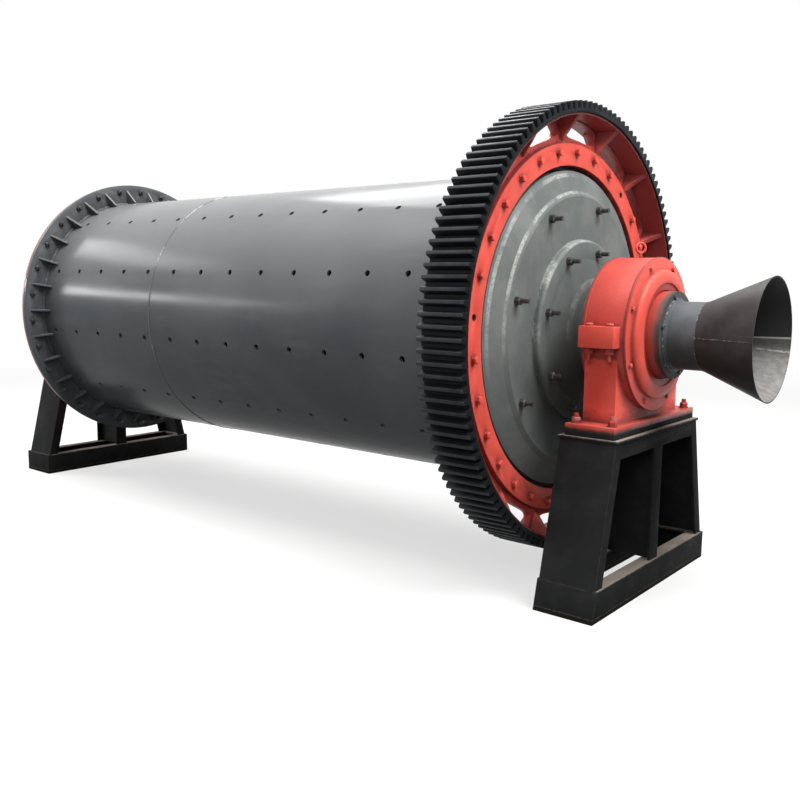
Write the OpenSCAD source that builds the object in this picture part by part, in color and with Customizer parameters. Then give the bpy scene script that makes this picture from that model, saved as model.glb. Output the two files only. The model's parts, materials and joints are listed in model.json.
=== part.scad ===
// Ball mill: a horizontal grinding drum with a girth gear, turning on hollow
// trunnions in two pedestal bearings, with a flared discharge spout.
// Stations run along the drum's axis from the middle of the shell.

/* [Drum shell] */
// Outside diameter of the rolled shell
shell_d = 1830; // [1500:10:2200]
// Plate thickness of the shell
shell_wall = 18; // [12:1:30]
// Length of the shell between its two ends
shell_len = 4375; // [3600:5:5200]
// Length of the first plate course, from the feed end to the welded seam
feed_course_len = 1520; // [1440:5:1620]
// Clearance between the gear's teeth and the ground
ground_gap = 155.8; // [120:0.1:320]
// Rows of liner bolt holes around the shell
liner_rows = 12; // [6:1:16]
// Liner bolt holes in each row
liner_holes = 14; // [8:1:16]
// Distance from the feed flange to the first liner bolt hole
liner_first = 152; // [130:1:200]
// Distance from the last liner bolt hole to the discharge flange
liner_last = 143; // [130:1:200]
// Diameter of a liner bolt hole
liner_hole_d = 38; // [20:1:50]

/* [Shell flanges] */
// Height of the shell flanges above the shell
flange_h = 160; // [140:1:190]
// Thickness of a shell flange
flange_t = 30; // [20:1:40]
// Bolts around each flange
flange_bolts = 30; // [20:1:36]
// Height of the flange's bolt circle above the shell
flange_bolt_h = 101; // [85:1:115]
// Diameter of a flange bolt hole
flange_hole_d = 30; // [20:1:36]
// Triangular gussets behind each flange
gussets = 30; // [20:1:36]
// Length of a gusset along the shell
gusset_len = 108; // [60:1:140]
// Height of a gusset against the flange
gusset_h = 118; // [60:1:130]
// Height of a gusset's blunt toe
gusset_toe = 12; // [5:1:20]
// Plate thickness of a gusset
gusset_t = 16; // [6:1:20]

/* [End rings] */
// Step from a flange's rim in to the clamp ring's rim
ring_step = 8; // [2:1:20]
// Clearance between the clamp ring's bore and the shell
ring_clear = 28; // [10:1:45]
// Thickness of the clamp ring
ring_t = 30; // [20:1:40]
// Distance that the discharge ring's face stands past the shell end
ring_proud = 15; // [5:1:20]

/* [Girth gear] */
// Size of a tooth, as the gear's module
gear_module = 19.2; // [16:0.1:24]
// Face width of the teeth
gear_w = 270; // [240:2:300]
// Distance from the shell end back to the middle of the gear
gear_set = 6; // [0:1:20]
// Thickness of the rim under the teeth
gear_rim_t = 18; // [12:1:30]
// Wall of the spider's outer band
band_wall = 12; // [8:1:20]
// Step from the rim's face back to the band's face
band_step = 10; // [4:1:20]
// Width of the spider's hub flange outside the shell flange
gear_hub_lip = 12; // [8:1:45]
// Thickness of the hub flange and web
gear_hub_t = 45; // [30:1:60]
// Arms of the spider
gear_arms = 16; // [8:2:20]
// Length of an arm between the hub flange and the band
gear_arm_len = 123; // [80:1:140]
// Width of an arm at its waist
gear_arm_w = 96; // [60:1:140]
// Lip of web left between a window and the band or hub
gear_window_lip = 8; // [4:1:20]
// Plate thickness of a rib on an arm
gear_rib_t = 26; // [16:1:40]

/* [End covers] */
// Width of the bevel around a cover's edge
cover_bevel = 18; // [10:1:30]
// Depth of that bevel
cover_bevel_h = 9; // [5:1:15]
// Width from the shell's outside in to the cover's flat, over the bevel and the cone
cover_cone_w = 118; // [90:1:160]
// Rise of the cone from the bevel to the flat
cover_rise = 40; // [20:1:60]
// Plate thickness of the cover
cover_t = 36; // [20:1:45]
// Width of the bevel around the backing disc
disc_bevel = 27; // [10:1:40]
// Thickness of the backing disc
disc_t = 18; // [10:1:30]
// Width of the hub plate around the trunnion's spigot
hub_plate_w = 228; // [190:1:250]
// Thickness of the hub plate
hub_plate_t = 43; // [30:1:60]
// Chamfer around the hub plate's face
hub_chamfer = 14; // [5:1:20]

/* [Trunnions] */
// Diameter of the bearing journal
journal_d = 476; // [400:1:560]
// Wall of the trunnion at its journal
trunnion_wall = 62; // [50:1:75]
// Step from the journal out to the spigot that the end plates fit on
spigot_step = 57; // [40:1:80]
// Step from the journal out to the root of the coned neck
neck_root_step = 176; // [120:1:180]
// Step from the journal out to the small end of the coned neck
neck_end_step = 40; // [20:1:60]
// Length of the coned neck outside the hub plate
neck_len = 52; // [30:1:70]
// Length of the taper from the neck down to the journal
neck_taper = 19; // [10:1:28]
// Gap from the bearing's outer cover to the collar
collar_gap = 31; // [15:1:50]
// Thickness of the bolted collar
collar_t = 30; // [20:1:40]
// Bolts around the collar
collar_bolts = 6; // [4:1:12]
// Distance from the collar's rim in to its bolt circle
collar_bolt_edge = 26; // [22:1:30]
// Diameter of a collar bolt hole
collar_hole_d = 14; // [8:1:18]

/* [Discharge spout] */
// Wall of the discharge tube, whose bore carries on the trunnion's
tube_wall = 8; // [6:1:10]
// Length of the discharge tube
tube_len = 168; // [120:1:220]
// Width of the weld fillet at the tube's root
tube_fillet = 20; // [10:1:22]
// Length of the flared horn
horn_len = 339; // [250:1:400]
// Width of the horn's flare
horn_flare = 142; // [100:1:180]
// Sheet thickness of the horn
horn_sheet = 6; // [3:1:7]

/* [Bearings] */
// Gap from the neck's taper to the bearing's inner cover
bearing_gap = 81; // [40:1:100]
// Width of the round housing between its end covers
housing_w = 218; // [180:2:260]
// Wall of the round housing around the journal
housing_wall = 181; // [150:1:210]
// Depth of the lower block under the round of the housing
block_drop = 42; // [20:1:80]
// Step from the round housing in to the lower block's ends
block_end_inset = 11; // [2:1:30]
// Step from the housing's outer face back to the lower block
block_outer_inset = 28; // [4:1:40]
// Step from the housing's inner face back to the lower block
block_inner_inset = 5; // [2:1:40]
// Running clearance of the journal in the housing
journal_clear = 0.08; // [0.02:0.01:0.1]
// Step from a housing face in to a split lug
lug_inset = 10; // [2:1:20]
// Reach of a split lug beyond the round housing
lug_reach = 85; // [60:1:105]
// Height of the joined lugs
lug_h = 112; // [80:2:140]
// Distance from a lug's side to its bolt
lug_bolt_side = 41; // [30:1:60]
// Diameter of a lug bolt hole
lug_hole_d = 26; // [16:1:32]
// Lip of an end cover's flange past the round housing
end_cover_lip = 3; // [1:1:6]
// Thickness of an end cover's flange
end_cover_t = 18; // [10:1:30]
// Width of an end cover's flange outside its raised step
end_flange_w = 65; // [40:1:80]
// Height of the raised step
end_step_h = 14; // [8:1:20]
// Width of the rounding from the raised step up to the crest
crest_round_w = 51; // [30:1:60]
// Height of the rounded crest above the raised step
crest_h = 27; // [15:1:30]
// Width of the recess between the crest and the cover's bore
recess_w = 39; // [20:1:50]
// Depth of that recess
recess_h = 9; // [4:1:14]
// Gap between the end cover and the turning trunnion
end_cover_gap = 6; // [5:1:12]
// Margin of the base plate beyond the housing's faces
foot_margin = 33.5; // [20:0.5:50]
// Reach of the base plate beyond the round housing
foot_reach = 116; // [95:1:140]
// Thickness of the base plate
foot_t = 33; // [20:1:45]
// Thickness of the sole plate under it
sole_t = 30; // [15:1:40]
// Distance from the base plate's side to its bolts
foot_bolt_side = 37.5; // [25:0.5:45]
// Distance from the base plate's end to its bolts
foot_bolt_end = 55; // [40:1:70]
// Diameter of a base bolt hole
foot_hole_d = 33; // [20:1:40]
// Outside diameter of the lifting eye
eye_d = 68; // [50:1:90]
// Thickness of the lifting eye's ring
eye_wire = 14; // [8:1:18]
// Height of the lifting eye's shank under the ring
eye_shank_h = 26; // [15:1:40]

/* [Pedestals] */
// Margin of a pedestal's top plate beyond the base plate's sides
top_side_margin = 29.5; // [20:0.5:50]
// Margin of a pedestal's top plate beyond the base plate's ends
top_end_margin = 16; // [10:1:50]
// Step from the top plate's edge in to the frame under it
frame_step = 10; // [2:1:20]
// Spread of a leg from the pedestal's top to its foot
leg_splay_w = 180; // [120:1:220]
// Margin of the base frame beyond the legs
base_margin = 22; // [5:1:50]
// Height of the base frame
base_h = 165; // [120:1:200]
// Width of the ledge along the base frame's top
base_ledge = 78; // [50:1:100]
// Height of the top beam under its plate
beam_h = 86; // [60:1:130]
// Depth of the leg's flanges
leg_flange = 78; // [50:1:110]
// Width of the middle post
post_w = 104; // [70:1:140]
// Plate thickness of the pedestal
plate_t = 14; // [8:1:20]

/* [Hidden] */
$fn = 96;

// Overrun of every cut past the faces that it opens
cut = 2;

// Ends of the mill
feed = -1;
discharge = 1;

// Angles about the axis, from the far side upwards
liner_turn = 9.6;
feed_bolt_turn = 4;
discharge_bolt_turn = 6.3;
gusset_turn = -0.4;
arm_turn = 7;
collar_turn = 45;
eye_turn = 50;

// Paint of the pieces
shell_grey = [0.36, 0.37, 0.37];
cover_grey = [0.47, 0.49, 0.47];
machine_red = [0.85, 0.25, 0.2];
gear_black = [0.09, 0.09, 0.1];
stand_black = [0.13, 0.12, 0.12];
spout_grey = [0.25, 0.23, 0.23];

// Radii from the shell out to the gear's teeth
shell_r = shell_d / 2;
shell_bore_r = shell_r - shell_wall;
flange_r = shell_r + flange_h;
flange_bolt_r = shell_r + flange_bolt_h;
ring_r = flange_r - ring_step;
ring_bore_r = shell_r + ring_clear;
hub_r = flange_r + gear_hub_lip;
band_bore_r = hub_r + gear_arm_len;
band_r = band_bore_r + band_wall;
tooth_height_share = 2.25;
gear_root_r = band_r + gear_rim_t;
gear_tip_r = gear_root_r + tooth_height_share * gear_module;
gear_pitch_r = gear_tip_r - gear_module;
gear_teeth = round(2 * gear_pitch_r / gear_module);

// Radii of the end plates, the trunnions and the spout
journal_r = journal_d / 2;
bore_r = journal_r - trunnion_wall;
spigot_r = journal_r + spigot_step;
cover_flat_r = shell_r - cover_cone_w;
disc_r = cover_flat_r - disc_bevel;
hub_plate_r = spigot_r + hub_plate_w;
collar_bolt_r = journal_r - collar_bolt_edge;
tube_r = bore_r + tube_wall;
horn_r = tube_r + horn_flare;

// Sizes of the bearings
housing_r = journal_r + housing_wall;
housing_bore_r = journal_r + journal_clear;
block_half = housing_r - block_end_inset;
lug_half = housing_r + lug_reach;
lug_len = housing_w - 2 * lug_inset;
end_cover_r = housing_r + end_cover_lip;
end_cover_bore_r = journal_r + end_cover_gap;
end_step_r = end_cover_r - end_flange_w;
end_cover_h = end_cover_t + end_step_h + crest_h;
foot_len = housing_w + 2 * foot_margin;
foot_half = housing_r + foot_reach;
eye_r = (eye_d - eye_wire) / 2;

// Sizes of the pedestals
top_w = foot_len + 2 * top_side_margin;
frame_w = top_w - 2 * frame_step;
top_half = foot_half + top_end_margin;
base_half = top_half - frame_step + leg_splay_w + base_margin;

// Heights, with the drum's axis high enough to clear the gear
axis_h = gear_tip_r + ground_gap;
foot_top = axis_h - housing_r - block_drop;
foot_bottom = foot_top - foot_t;
pedestal_h = foot_bottom - sole_t;
beam_top = pedestal_h - plate_t;
beam_bottom = beam_top - beam_h;

// Stations from the middle of the shell
shell_end = shell_len / 2;
seam_station = feed_course_len - shell_end;
flange_outer = shell_end + ring_proud - ring_t - gear_hub_t;
flange_inner = flange_outer - flange_t;
gear_middle = shell_end - gear_set;
cover_lip = shell_end + cover_bevel_h;
cover_face = cover_lip + cover_rise;
disc_face = cover_face + disc_t;
hub_face = disc_face + hub_plate_t;
neck_end = hub_face + neck_len;
journal_start = neck_end + neck_taper;
bearing_middle = journal_start + bearing_gap + end_cover_h + housing_w / 2;
trunnion_end = bearing_middle + housing_w / 2 + end_cover_h + collar_gap;
collar_face = trunnion_end + collar_t;
tube_end = collar_face + tube_len;
horn_end = tube_end + horn_len;
liner_pitch = (2 * flange_inner - liner_first - liner_last) / (liner_holes - 1);

// The middle of the shell lies off the middle of the whole mill by half the spout
mill_shift = (collar_face - horn_end) / 2;

// Turns a child that stands along z onto the drum's axis, with stations along +X
module on_axis() {
    translate([mill_shift, 0, axis_h]) rotate([90, 0, 90]) children();
}

// Puts a child drawn for the discharge end at either end of the mill
module at_end(side) {
    translate([mill_shift, 0, 0]) {
        if (side == feed) mirror([1, 0, 0]) children();
        else children();
    }
}

// The same, for a child that stands along the drum's axis
module at_axis_end(side) {
    at_end(side) translate([0, 0, axis_h]) rotate([90, 0, 90]) children();
}

// Half length of a pedestal's sloping side at a height
function side_half(z) =
    top_half - frame_step + leg_splay_w * (pedestal_h - z) / (pedestal_h - base_h);

// Flat ring between two stations
module ring(outer_r, bore_r, from, to) {
    translate([0, 0, from]) difference() {
        cylinder(h = to - from, r = outer_r);
        translate([0, 0, -cut]) cylinder(h = to - from + 2 * cut, r = bore_r);
    }
}

// Drills for a bolt circle, through everything between two stations
module bolt_drills(count, circle_r, hole_d, turn, from, to) {
    for (i = [0 : count - 1])
        rotate([0, 0, turn + i * 360 / count])
            translate([circle_r, 0, from - cut])
                cylinder(h = to - from + 2 * cut, d = hole_d, $fn = 32);
}

// One course of the shell, drilled with the liner holes that fall on it
module shell_course(from, to) {
    hole_r = liner_hole_d / 2;
    color(shell_grey) on_axis() difference() {
        ring(shell_r, shell_bore_r, from, to);
        for (k = [0 : liner_holes - 1]) {
            station = -flange_inner + liner_first + k * liner_pitch;
            if (station - hole_r > from && station + hole_r < to)
                for (row = [0 : liner_rows - 1])
                    rotate([0, 0, liner_turn + row * 360 / liner_rows])
                        translate([shell_bore_r - cut, 0, station])
                            rotate([0, 90, 0])
                                cylinder(h = shell_wall + 2 * cut, r = hole_r, $fn = 32);
        }
    }
}

module feed_shell_course() {
    shell_course(-shell_end, seam_station);
}

module discharge_shell_course() {
    shell_course(seam_station, shell_end);
}

module shell_flange(side, turn) {
    color(shell_grey) at_axis_end(side) difference() {
        ring(flange_r, shell_r, flange_inner, flange_outer);
        bolt_drills(flange_bolts, flange_bolt_r, flange_hole_d, turn, flange_inner, flange_outer);
    }
}

module feed_shell_flange() {
    shell_flange(feed, feed_bolt_turn);
}

module discharge_shell_flange() {
    shell_flange(discharge, discharge_bolt_turn);
}

// Triangular plates that stand on the shell and brace the flange
module flange_gussets(side) {
    root_r = shell_r * cos(asin(gusset_t / shell_d));
    color(shell_grey) at_axis_end(side) difference() {
        for (i = [0 : gussets - 1])
            rotate([0, 0, gusset_turn + i * 360 / gussets])
                translate([0, gusset_t / 2, 0]) rotate([90, 0, 0])
                    linear_extrude(gusset_t) polygon([
                        [root_r - gusset_toe, flange_inner],
                        [shell_r + gusset_h, flange_inner],
                        [shell_r + gusset_toe, flange_inner - gusset_len],
                        [root_r - gusset_toe, flange_inner - gusset_len]
                    ]);
        translate([0, 0, flange_inner - gusset_len - cut])
            cylinder(h = gusset_len + 2 * cut, r = shell_r);
    }
}

module feed_gussets() {
    flange_gussets(feed);
}

module discharge_gussets() {
    flange_gussets(discharge);
}

// Clamp ring bolted to the flange, over the gear's hub on the discharge end
module end_ring(side, turn, seat) {
    color(machine_red) at_axis_end(side) difference() {
        ring(ring_r, ring_bore_r, seat, seat + ring_t);
        bolt_drills(flange_bolts, flange_bolt_r, flange_hole_d, turn, seat, seat + ring_t);
    }
}

module feed_end_ring() {
    end_ring(feed, feed_bolt_turn, flange_outer);
}

module discharge_end_ring() {
    end_ring(discharge, discharge_bolt_turn, flange_outer + gear_hub_t);
}

// Outline of the toothed rim: each tooth is a root land, two flanks and a tip land
tooth_radii = [gear_root_r, gear_pitch_r, gear_tip_r];
tooth_half_shares = [0.31, 0.245, 0.14];
function tooth_point(i, r, share) =
    let (angle = (i + share) * 360 / gear_teeth) [r * cos(angle), r * sin(angle)];
gear_outline = [
    for (i = [0 : gear_teeth - 1], j = [-3, -2, -1, 1, 2, 3])
        tooth_point(i, tooth_radii[3 - abs(j)], sign(j) * tooth_half_shares[3 - abs(j)])
];

module gear_rim() {
    color(gear_black) on_axis() translate([0, 0, gear_middle - gear_w / 2]) difference() {
        linear_extrude(gear_w) polygon(gear_outline);
        translate([0, 0, -cut]) cylinder(h = gear_w + 2 * cut, r = band_r, $fn = 360);
    }
}

// Window between two arms: a rounded four-sided opening that follows the ring of the web
window_steps = 32;
window_round_share = 0.55;
function rounded(v) = sign(v) * pow(abs(v), window_round_share);
module web_window() {
    middle_r = (hub_r + band_bore_r) / 2;
    half_h = (band_bore_r - hub_r) / 2 - gear_window_lip;
    half_angle = 180 / gear_arms - gear_arm_w / middle_r * 90 / PI;
    polygon([
        for (i = [0 : window_steps - 1])
            let (
                t = i * 360 / window_steps,
                r = middle_r + half_h * rounded(sin(t)),
                angle = half_angle * rounded(cos(t))
            ) [r * cos(angle), r * sin(angle)]
    ]);
}

// Rib on an arm: rises from the hub flange to the edge of the outer band
module arm_rib(base, top) {
    rib_start = (ring_r + hub_r) / 2;
    rise = top - base;
    toe_share = 0.08;
    translate([0, gear_rib_t / 2, 0]) rotate([90, 0, 0])
        linear_extrude(gear_rib_t) polygon([
            [rib_start, base],
            [band_r - band_wall / 2, base],
            [band_r - band_wall / 2, top],
            [rib_start, base + rise * toe_share]
        ]);
}

module gear_spider() {
    band_from = gear_middle - gear_w / 2 + band_step;
    band_to = gear_middle + gear_w / 2 - band_step;
    web_from = flange_outer;
    web_to = flange_outer + gear_hub_t;
    color(machine_red) on_axis() difference() {
        union() {
            ring(band_r, band_bore_r, band_from, band_to);
            translate([0, 0, web_from]) linear_extrude(gear_hub_t) difference() {
                circle(r = band_r - band_wall / 2);
                circle(r = ring_bore_r);
                for (i = [0 : gear_arms - 1])
                    rotate([0, 0, arm_turn + (i + 0.5) * 360 / gear_arms]) web_window();
            }
            for (i = [0 : gear_arms - 1])
                rotate([0, 0, arm_turn + i * 360 / gear_arms]) {
                    arm_rib(web_to - gear_rib_t / 2, band_to - band_step);
                    arm_rib(web_from + gear_rib_t / 2, band_from + band_step);
                }
        }
        bolt_drills(flange_bolts, flange_bolt_r, flange_hole_d, discharge_bolt_turn, web_from, web_to);
    }
}

// Coned plate that closes an end of the shell
module end_cover(side) {
    color(cover_grey) at_axis_end(side) rotate_extrude($fn = 144) polygon([
        [spigot_r, cover_face - cover_t],
        [cover_flat_r, cover_face - cover_t],
        [shell_bore_r, shell_end],
        [shell_r, shell_end],
        [shell_r - cover_bevel, cover_lip],
        [cover_flat_r, cover_face],
        [spigot_r, cover_face]
    ]);
}

module feed_end_cover() {
    end_cover(feed);
}

module discharge_end_cover() {
    end_cover(discharge);
}

// Backing disc welded to the flat of the cover
module cover_disc(side) {
    color(cover_grey) at_axis_end(side) rotate_extrude($fn = 144) polygon([
        [spigot_r, cover_face],
        [cover_flat_r, cover_face],
        [disc_r, disc_face],
        [spigot_r, disc_face]
    ]);
}

module feed_cover_disc() {
    cover_disc(feed);
}

module discharge_cover_disc() {
    cover_disc(discharge);
}

// Thick plate around the trunnion's spigot
module hub_plate(side) {
    color(cover_grey) at_axis_end(side) rotate_extrude($fn = 144) polygon([
        [spigot_r, disc_face],
        [hub_plate_r, disc_face],
        [hub_plate_r, hub_face - hub_chamfer],
        [hub_plate_r - hub_chamfer, hub_face],
        [spigot_r, hub_face]
    ]);
}

module feed_hub_plate() {
    hub_plate(feed);
}

module discharge_hub_plate() {
    hub_plate(discharge);
}

// Hollow shaft that carries the drum: a spigot in the end plates, a coned neck and the journal
module trunnion(side) {
    color(cover_grey) at_axis_end(side) rotate_extrude($fn = 144) polygon([
        [bore_r, cover_face - cover_t],
        [spigot_r, cover_face - cover_t],
        [spigot_r, hub_face],
        [journal_r + neck_root_step, hub_face],
        [journal_r + neck_end_step, neck_end],
        [journal_r, journal_start],
        [journal_r, trunnion_end],
        [bore_r, trunnion_end]
    ]);
}

module feed_trunnion() {
    trunnion(feed);
}

module discharge_trunnion() {
    trunnion(discharge);
}

// Ring bolted to the end of a trunnion
module collar(side) {
    color(spout_grey) at_axis_end(side) difference() {
        ring(journal_r, bore_r, trunnion_end, collar_face);
        bolt_drills(collar_bolts, collar_bolt_r, collar_hole_d, collar_turn, trunnion_end, collar_face);
    }
}

module feed_collar() {
    collar(feed);
}

module discharge_collar() {
    collar(discharge);
}

// Short pipe welded to the discharge collar
module discharge_tube() {
    color(spout_grey) on_axis() rotate_extrude($fn = 144) polygon([
        [bore_r, collar_face],
        [tube_r + tube_fillet, collar_face],
        [tube_r, collar_face + tube_fillet],
        [tube_r, tube_end],
        [bore_r, tube_end]
    ]);
}

// Flared sheet mouth at the end of the tube
module discharge_horn() {
    color(spout_grey) on_axis() rotate_extrude($fn = 144) polygon([
        [tube_r - horn_sheet, tube_end],
        [tube_r, tube_end],
        [horn_r, horn_end],
        [horn_r - horn_sheet, horn_end]
    ]);
}

// Drills for the two bolts of each split lug
module lug_drills() {
    for (y = [-1, 1], x = [-1, 1])
        translate([
            bearing_middle + x * (lug_len / 2 - lug_bolt_side),
            y * (housing_r + lug_half) / 2,
            axis_h - lug_h / 2 - cut
        ]) cylinder(h = lug_h + 2 * cut, d = lug_hole_d, $fn = 32);
}

// Bore of the housing for the journal
module housing_bore() {
    translate([bearing_middle - housing_w / 2 - cut, 0, axis_h]) rotate([0, 90, 0])
        cylinder(h = housing_w + 2 * cut, r = housing_bore_r, $fn = 144);
}

// Drills for the four bolts that hold a housing down
module foot_drills(from, to) {
    for (y = [-1, 1], x = [-1, 1])
        translate([
            bearing_middle + x * (foot_len / 2 - foot_bolt_side),
            y * (foot_half - foot_bolt_end),
            from - cut
        ]) cylinder(h = to - from + 2 * cut, d = foot_hole_d, $fn = 32);
}

// Lower half of the bearing housing, on its base plate
module bearing_base(side) {
    block_w = housing_w - block_inner_inset - block_outer_inset;
    color(machine_red) at_end(side) difference() {
        union() {
            translate([bearing_middle - housing_w / 2 + block_inner_inset, -block_half, foot_top])
                cube([block_w, block_half * 2, axis_h - foot_top]);
            translate([bearing_middle - housing_w / 2, 0, axis_h]) rotate([90, 0, 90])
                linear_extrude(housing_w) intersection() {
                    circle(r = housing_r);
                    translate([-housing_r, -housing_r]) square([housing_r * 2, housing_r]);
                }
            translate([bearing_middle - lug_len / 2, -lug_half, axis_h - lug_h / 2])
                cube([lug_len, lug_half * 2, lug_h / 2]);
            translate([bearing_middle - foot_len / 2, -foot_half, foot_bottom])
                cube([foot_len, foot_half * 2, foot_t]);
        }
        housing_bore();
        lug_drills();
        foot_drills(foot_bottom, foot_top);
    }
}

module feed_bearing_base() {
    bearing_base(feed);
}

module discharge_bearing_base() {
    bearing_base(discharge);
}

// Upper half of the bearing housing
module bearing_cap(side) {
    color(machine_red) at_end(side) difference() {
        union() {
            translate([bearing_middle - housing_w / 2, 0, axis_h]) rotate([90, 0, 90])
                linear_extrude(housing_w) intersection() {
                    circle(r = housing_r);
                    translate([-housing_r, 0]) square([housing_r * 2, housing_r]);
                }
            translate([bearing_middle - lug_len / 2, -lug_half, axis_h])
                cube([lug_len, lug_half * 2, lug_h / 2]);
        }
        housing_bore();
        lug_drills();
    }
}

module feed_bearing_cap() {
    bearing_cap(feed);
}

module discharge_bearing_cap() {
    bearing_cap(discharge);
}

// Stepped cover on a face of the housing, drawn outwards from that face: a flange, a
// raised step, a rounded crest and a recess around the bore
crest_steps = 6;
module end_cover_plate() {
    step_top = end_cover_t + end_step_h;
    crest_r = end_step_r - crest_round_w;
    recess_r = end_cover_bore_r + recess_w;
    rotate_extrude($fn = 144) polygon([
        [end_cover_bore_r, 0],
        [end_cover_r, 0],
        [end_cover_r, end_cover_t],
        [end_step_r, end_cover_t],
        for (i = [0 : crest_steps])
            let (t = i * 90 / crest_steps)
                [crest_r + crest_round_w * cos(t), step_top + crest_h * sin(t)],
        [recess_r, end_cover_h],
        [recess_r, end_cover_h - recess_h],
        [end_cover_bore_r, end_cover_h - recess_h]
    ]);
}

module outer_cover(side) {
    color(machine_red) at_axis_end(side)
        translate([0, 0, bearing_middle + housing_w / 2]) end_cover_plate();
}

module inner_cover(side) {
    color(machine_red) at_axis_end(side)
        translate([0, 0, bearing_middle - housing_w / 2]) mirror([0, 0, 1]) end_cover_plate();
}

module feed_outer_cover() {
    outer_cover(feed);
}

module discharge_outer_cover() {
    outer_cover(discharge);
}

module feed_inner_cover() {
    inner_cover(feed);
}

module discharge_inner_cover() {
    inner_cover(discharge);
}

// Eye bolt screwed into the crown of the cap
module lifting_eye(side) {
    shank_share = 0.6;
    shank_r = eye_wire * shank_share;
    seat = axis_h + housing_r;
    color(machine_red) at_end(side) translate([bearing_middle, 0, seat]) {
        cylinder(h = eye_shank_h, r = shank_r, $fn = 32);
        translate([0, 0, eye_shank_h + eye_r]) rotate([90, 0, side * eye_turn])
            rotate_extrude($fn = 48) translate([eye_r, 0]) circle(d = eye_wire, $fn = 24);
    }
}

module feed_lifting_eye() {
    lifting_eye(feed);
}

module discharge_lifting_eye() {
    lifting_eye(discharge);
}

// Plate between the housing and its pedestal
module sole_plate(side) {
    color(stand_black) at_end(side) difference() {
        translate([bearing_middle - foot_len / 2, -foot_half, pedestal_h])
            cube([foot_len, foot_half * 2, sole_t]);
        foot_drills(pedestal_h, foot_bottom);
    }
}

module feed_sole_plate() {
    sole_plate(feed);
}

module discharge_sole_plate() {
    sole_plate(discharge);
}

// Frame of angles that stands on the ground: upright plates with a ledge inward along their
// tops, open in the middle and below. It is as wide as the top plate. One end can slope, in line
// with the leg that stands on it.
module pedestal_base(side, near_top, near_foot) {
    color(stand_black) at_end(side)
        translate([bearing_middle - top_w / 2, 0, 0]) difference() {
            rotate([90, 0, 90]) linear_extrude(top_w) polygon([
                [-near_foot, 0],
                [base_half, 0],
                [base_half, base_h],
                [-near_top, base_h]
            ]);
            translate([base_ledge, base_ledge - near_top, -cut])
                cube([top_w - base_ledge * 2, near_top + base_half - base_ledge * 2, base_h + 2 * cut]);
            translate([plate_t, 0, 0]) rotate([90, 0, 90])
                linear_extrude(top_w - plate_t * 2) polygon([
                    [plate_t - near_foot, -cut],
                    [base_half - plate_t, -cut],
                    [base_half - plate_t, base_h - plate_t],
                    [plate_t - near_top, base_h - plate_t]
                ]);
        }
}

module feed_pedestal_base() {
    pedestal_base(feed, base_half, base_half);
}

module discharge_pedestal_base() {
    pedestal_base(discharge, side_half(base_h), side_half(0));
}

// Sloping channel leg: a wide outer plate with a flange along each edge
module pedestal_leg() {
    foot = side_half(base_h);
    head = side_half(beam_bottom);
    translate([bearing_middle - frame_w / 2, 0, 0]) difference() {
        rotate([90, 0, 90]) linear_extrude(frame_w) polygon([
            [foot, base_h],
            [head, beam_bottom],
            [head - leg_flange, beam_bottom],
            [foot - leg_flange, base_h]
        ]);
        translate([plate_t, 0, 0]) rotate([90, 0, 90])
            linear_extrude(frame_w - plate_t * 2) polygon([
                [foot - plate_t, base_h - cut],
                [head - plate_t, beam_bottom + cut],
                [head - leg_flange - plate_t, beam_bottom + cut],
                [foot - leg_flange - plate_t, base_h - cut]
            ]);
    }
}

module pedestal_legs(side) {
    color(stand_black) at_end(side) {
        pedestal_leg();
        mirror([0, 1, 0]) pedestal_leg();
    }
}

module feed_pedestal_legs() {
    pedestal_legs(feed);
}

module discharge_pedestal_legs() {
    pedestal_legs(discharge);
}

// Post of two flanges and a web, under the middle of the bearing
module pedestal_post(side) {
    post_h = beam_bottom - base_h;
    color(stand_black) at_end(side) translate([bearing_middle - frame_w / 2, 0, base_h]) {
        translate([0, -post_w / 2, 0]) cube([plate_t, post_w, post_h]);
        translate([frame_w - plate_t, -post_w / 2, 0]) cube([plate_t, post_w, post_h]);
        translate([0, -plate_t / 2, 0]) cube([frame_w, plate_t, post_h]);
    }
}

module feed_pedestal_post() {
    pedestal_post(feed);
}

module discharge_pedestal_post() {
    pedestal_post(discharge);
}

// Top beam: two sides and two sloping ends, open below, under a wider top plate
module pedestal_beam(side) {
    low = side_half(beam_bottom);
    high = side_half(beam_top);
    color(stand_black) at_end(side) translate([bearing_middle, 0, 0]) {
        translate([-top_w / 2, -top_half, beam_top]) cube([top_w, top_half * 2, plate_t]);
        translate([-frame_w / 2, 0, 0]) rotate([90, 0, 90]) difference() {
            linear_extrude(frame_w) polygon([
                [-low, beam_bottom],
                [low, beam_bottom],
                [high, beam_top],
                [-high, beam_top]
            ]);
            translate([0, 0, plate_t]) linear_extrude(frame_w - plate_t * 2) polygon([
                [-low + plate_t, beam_bottom - cut],
                [low - plate_t, beam_bottom - cut],
                [high - plate_t, beam_top + cut],
                [-high + plate_t, beam_top + cut]
            ]);
        }
    }
}

module feed_pedestal_beam() {
    pedestal_beam(feed);
}

module discharge_pedestal_beam() {
    pedestal_beam(discharge);
}

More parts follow.
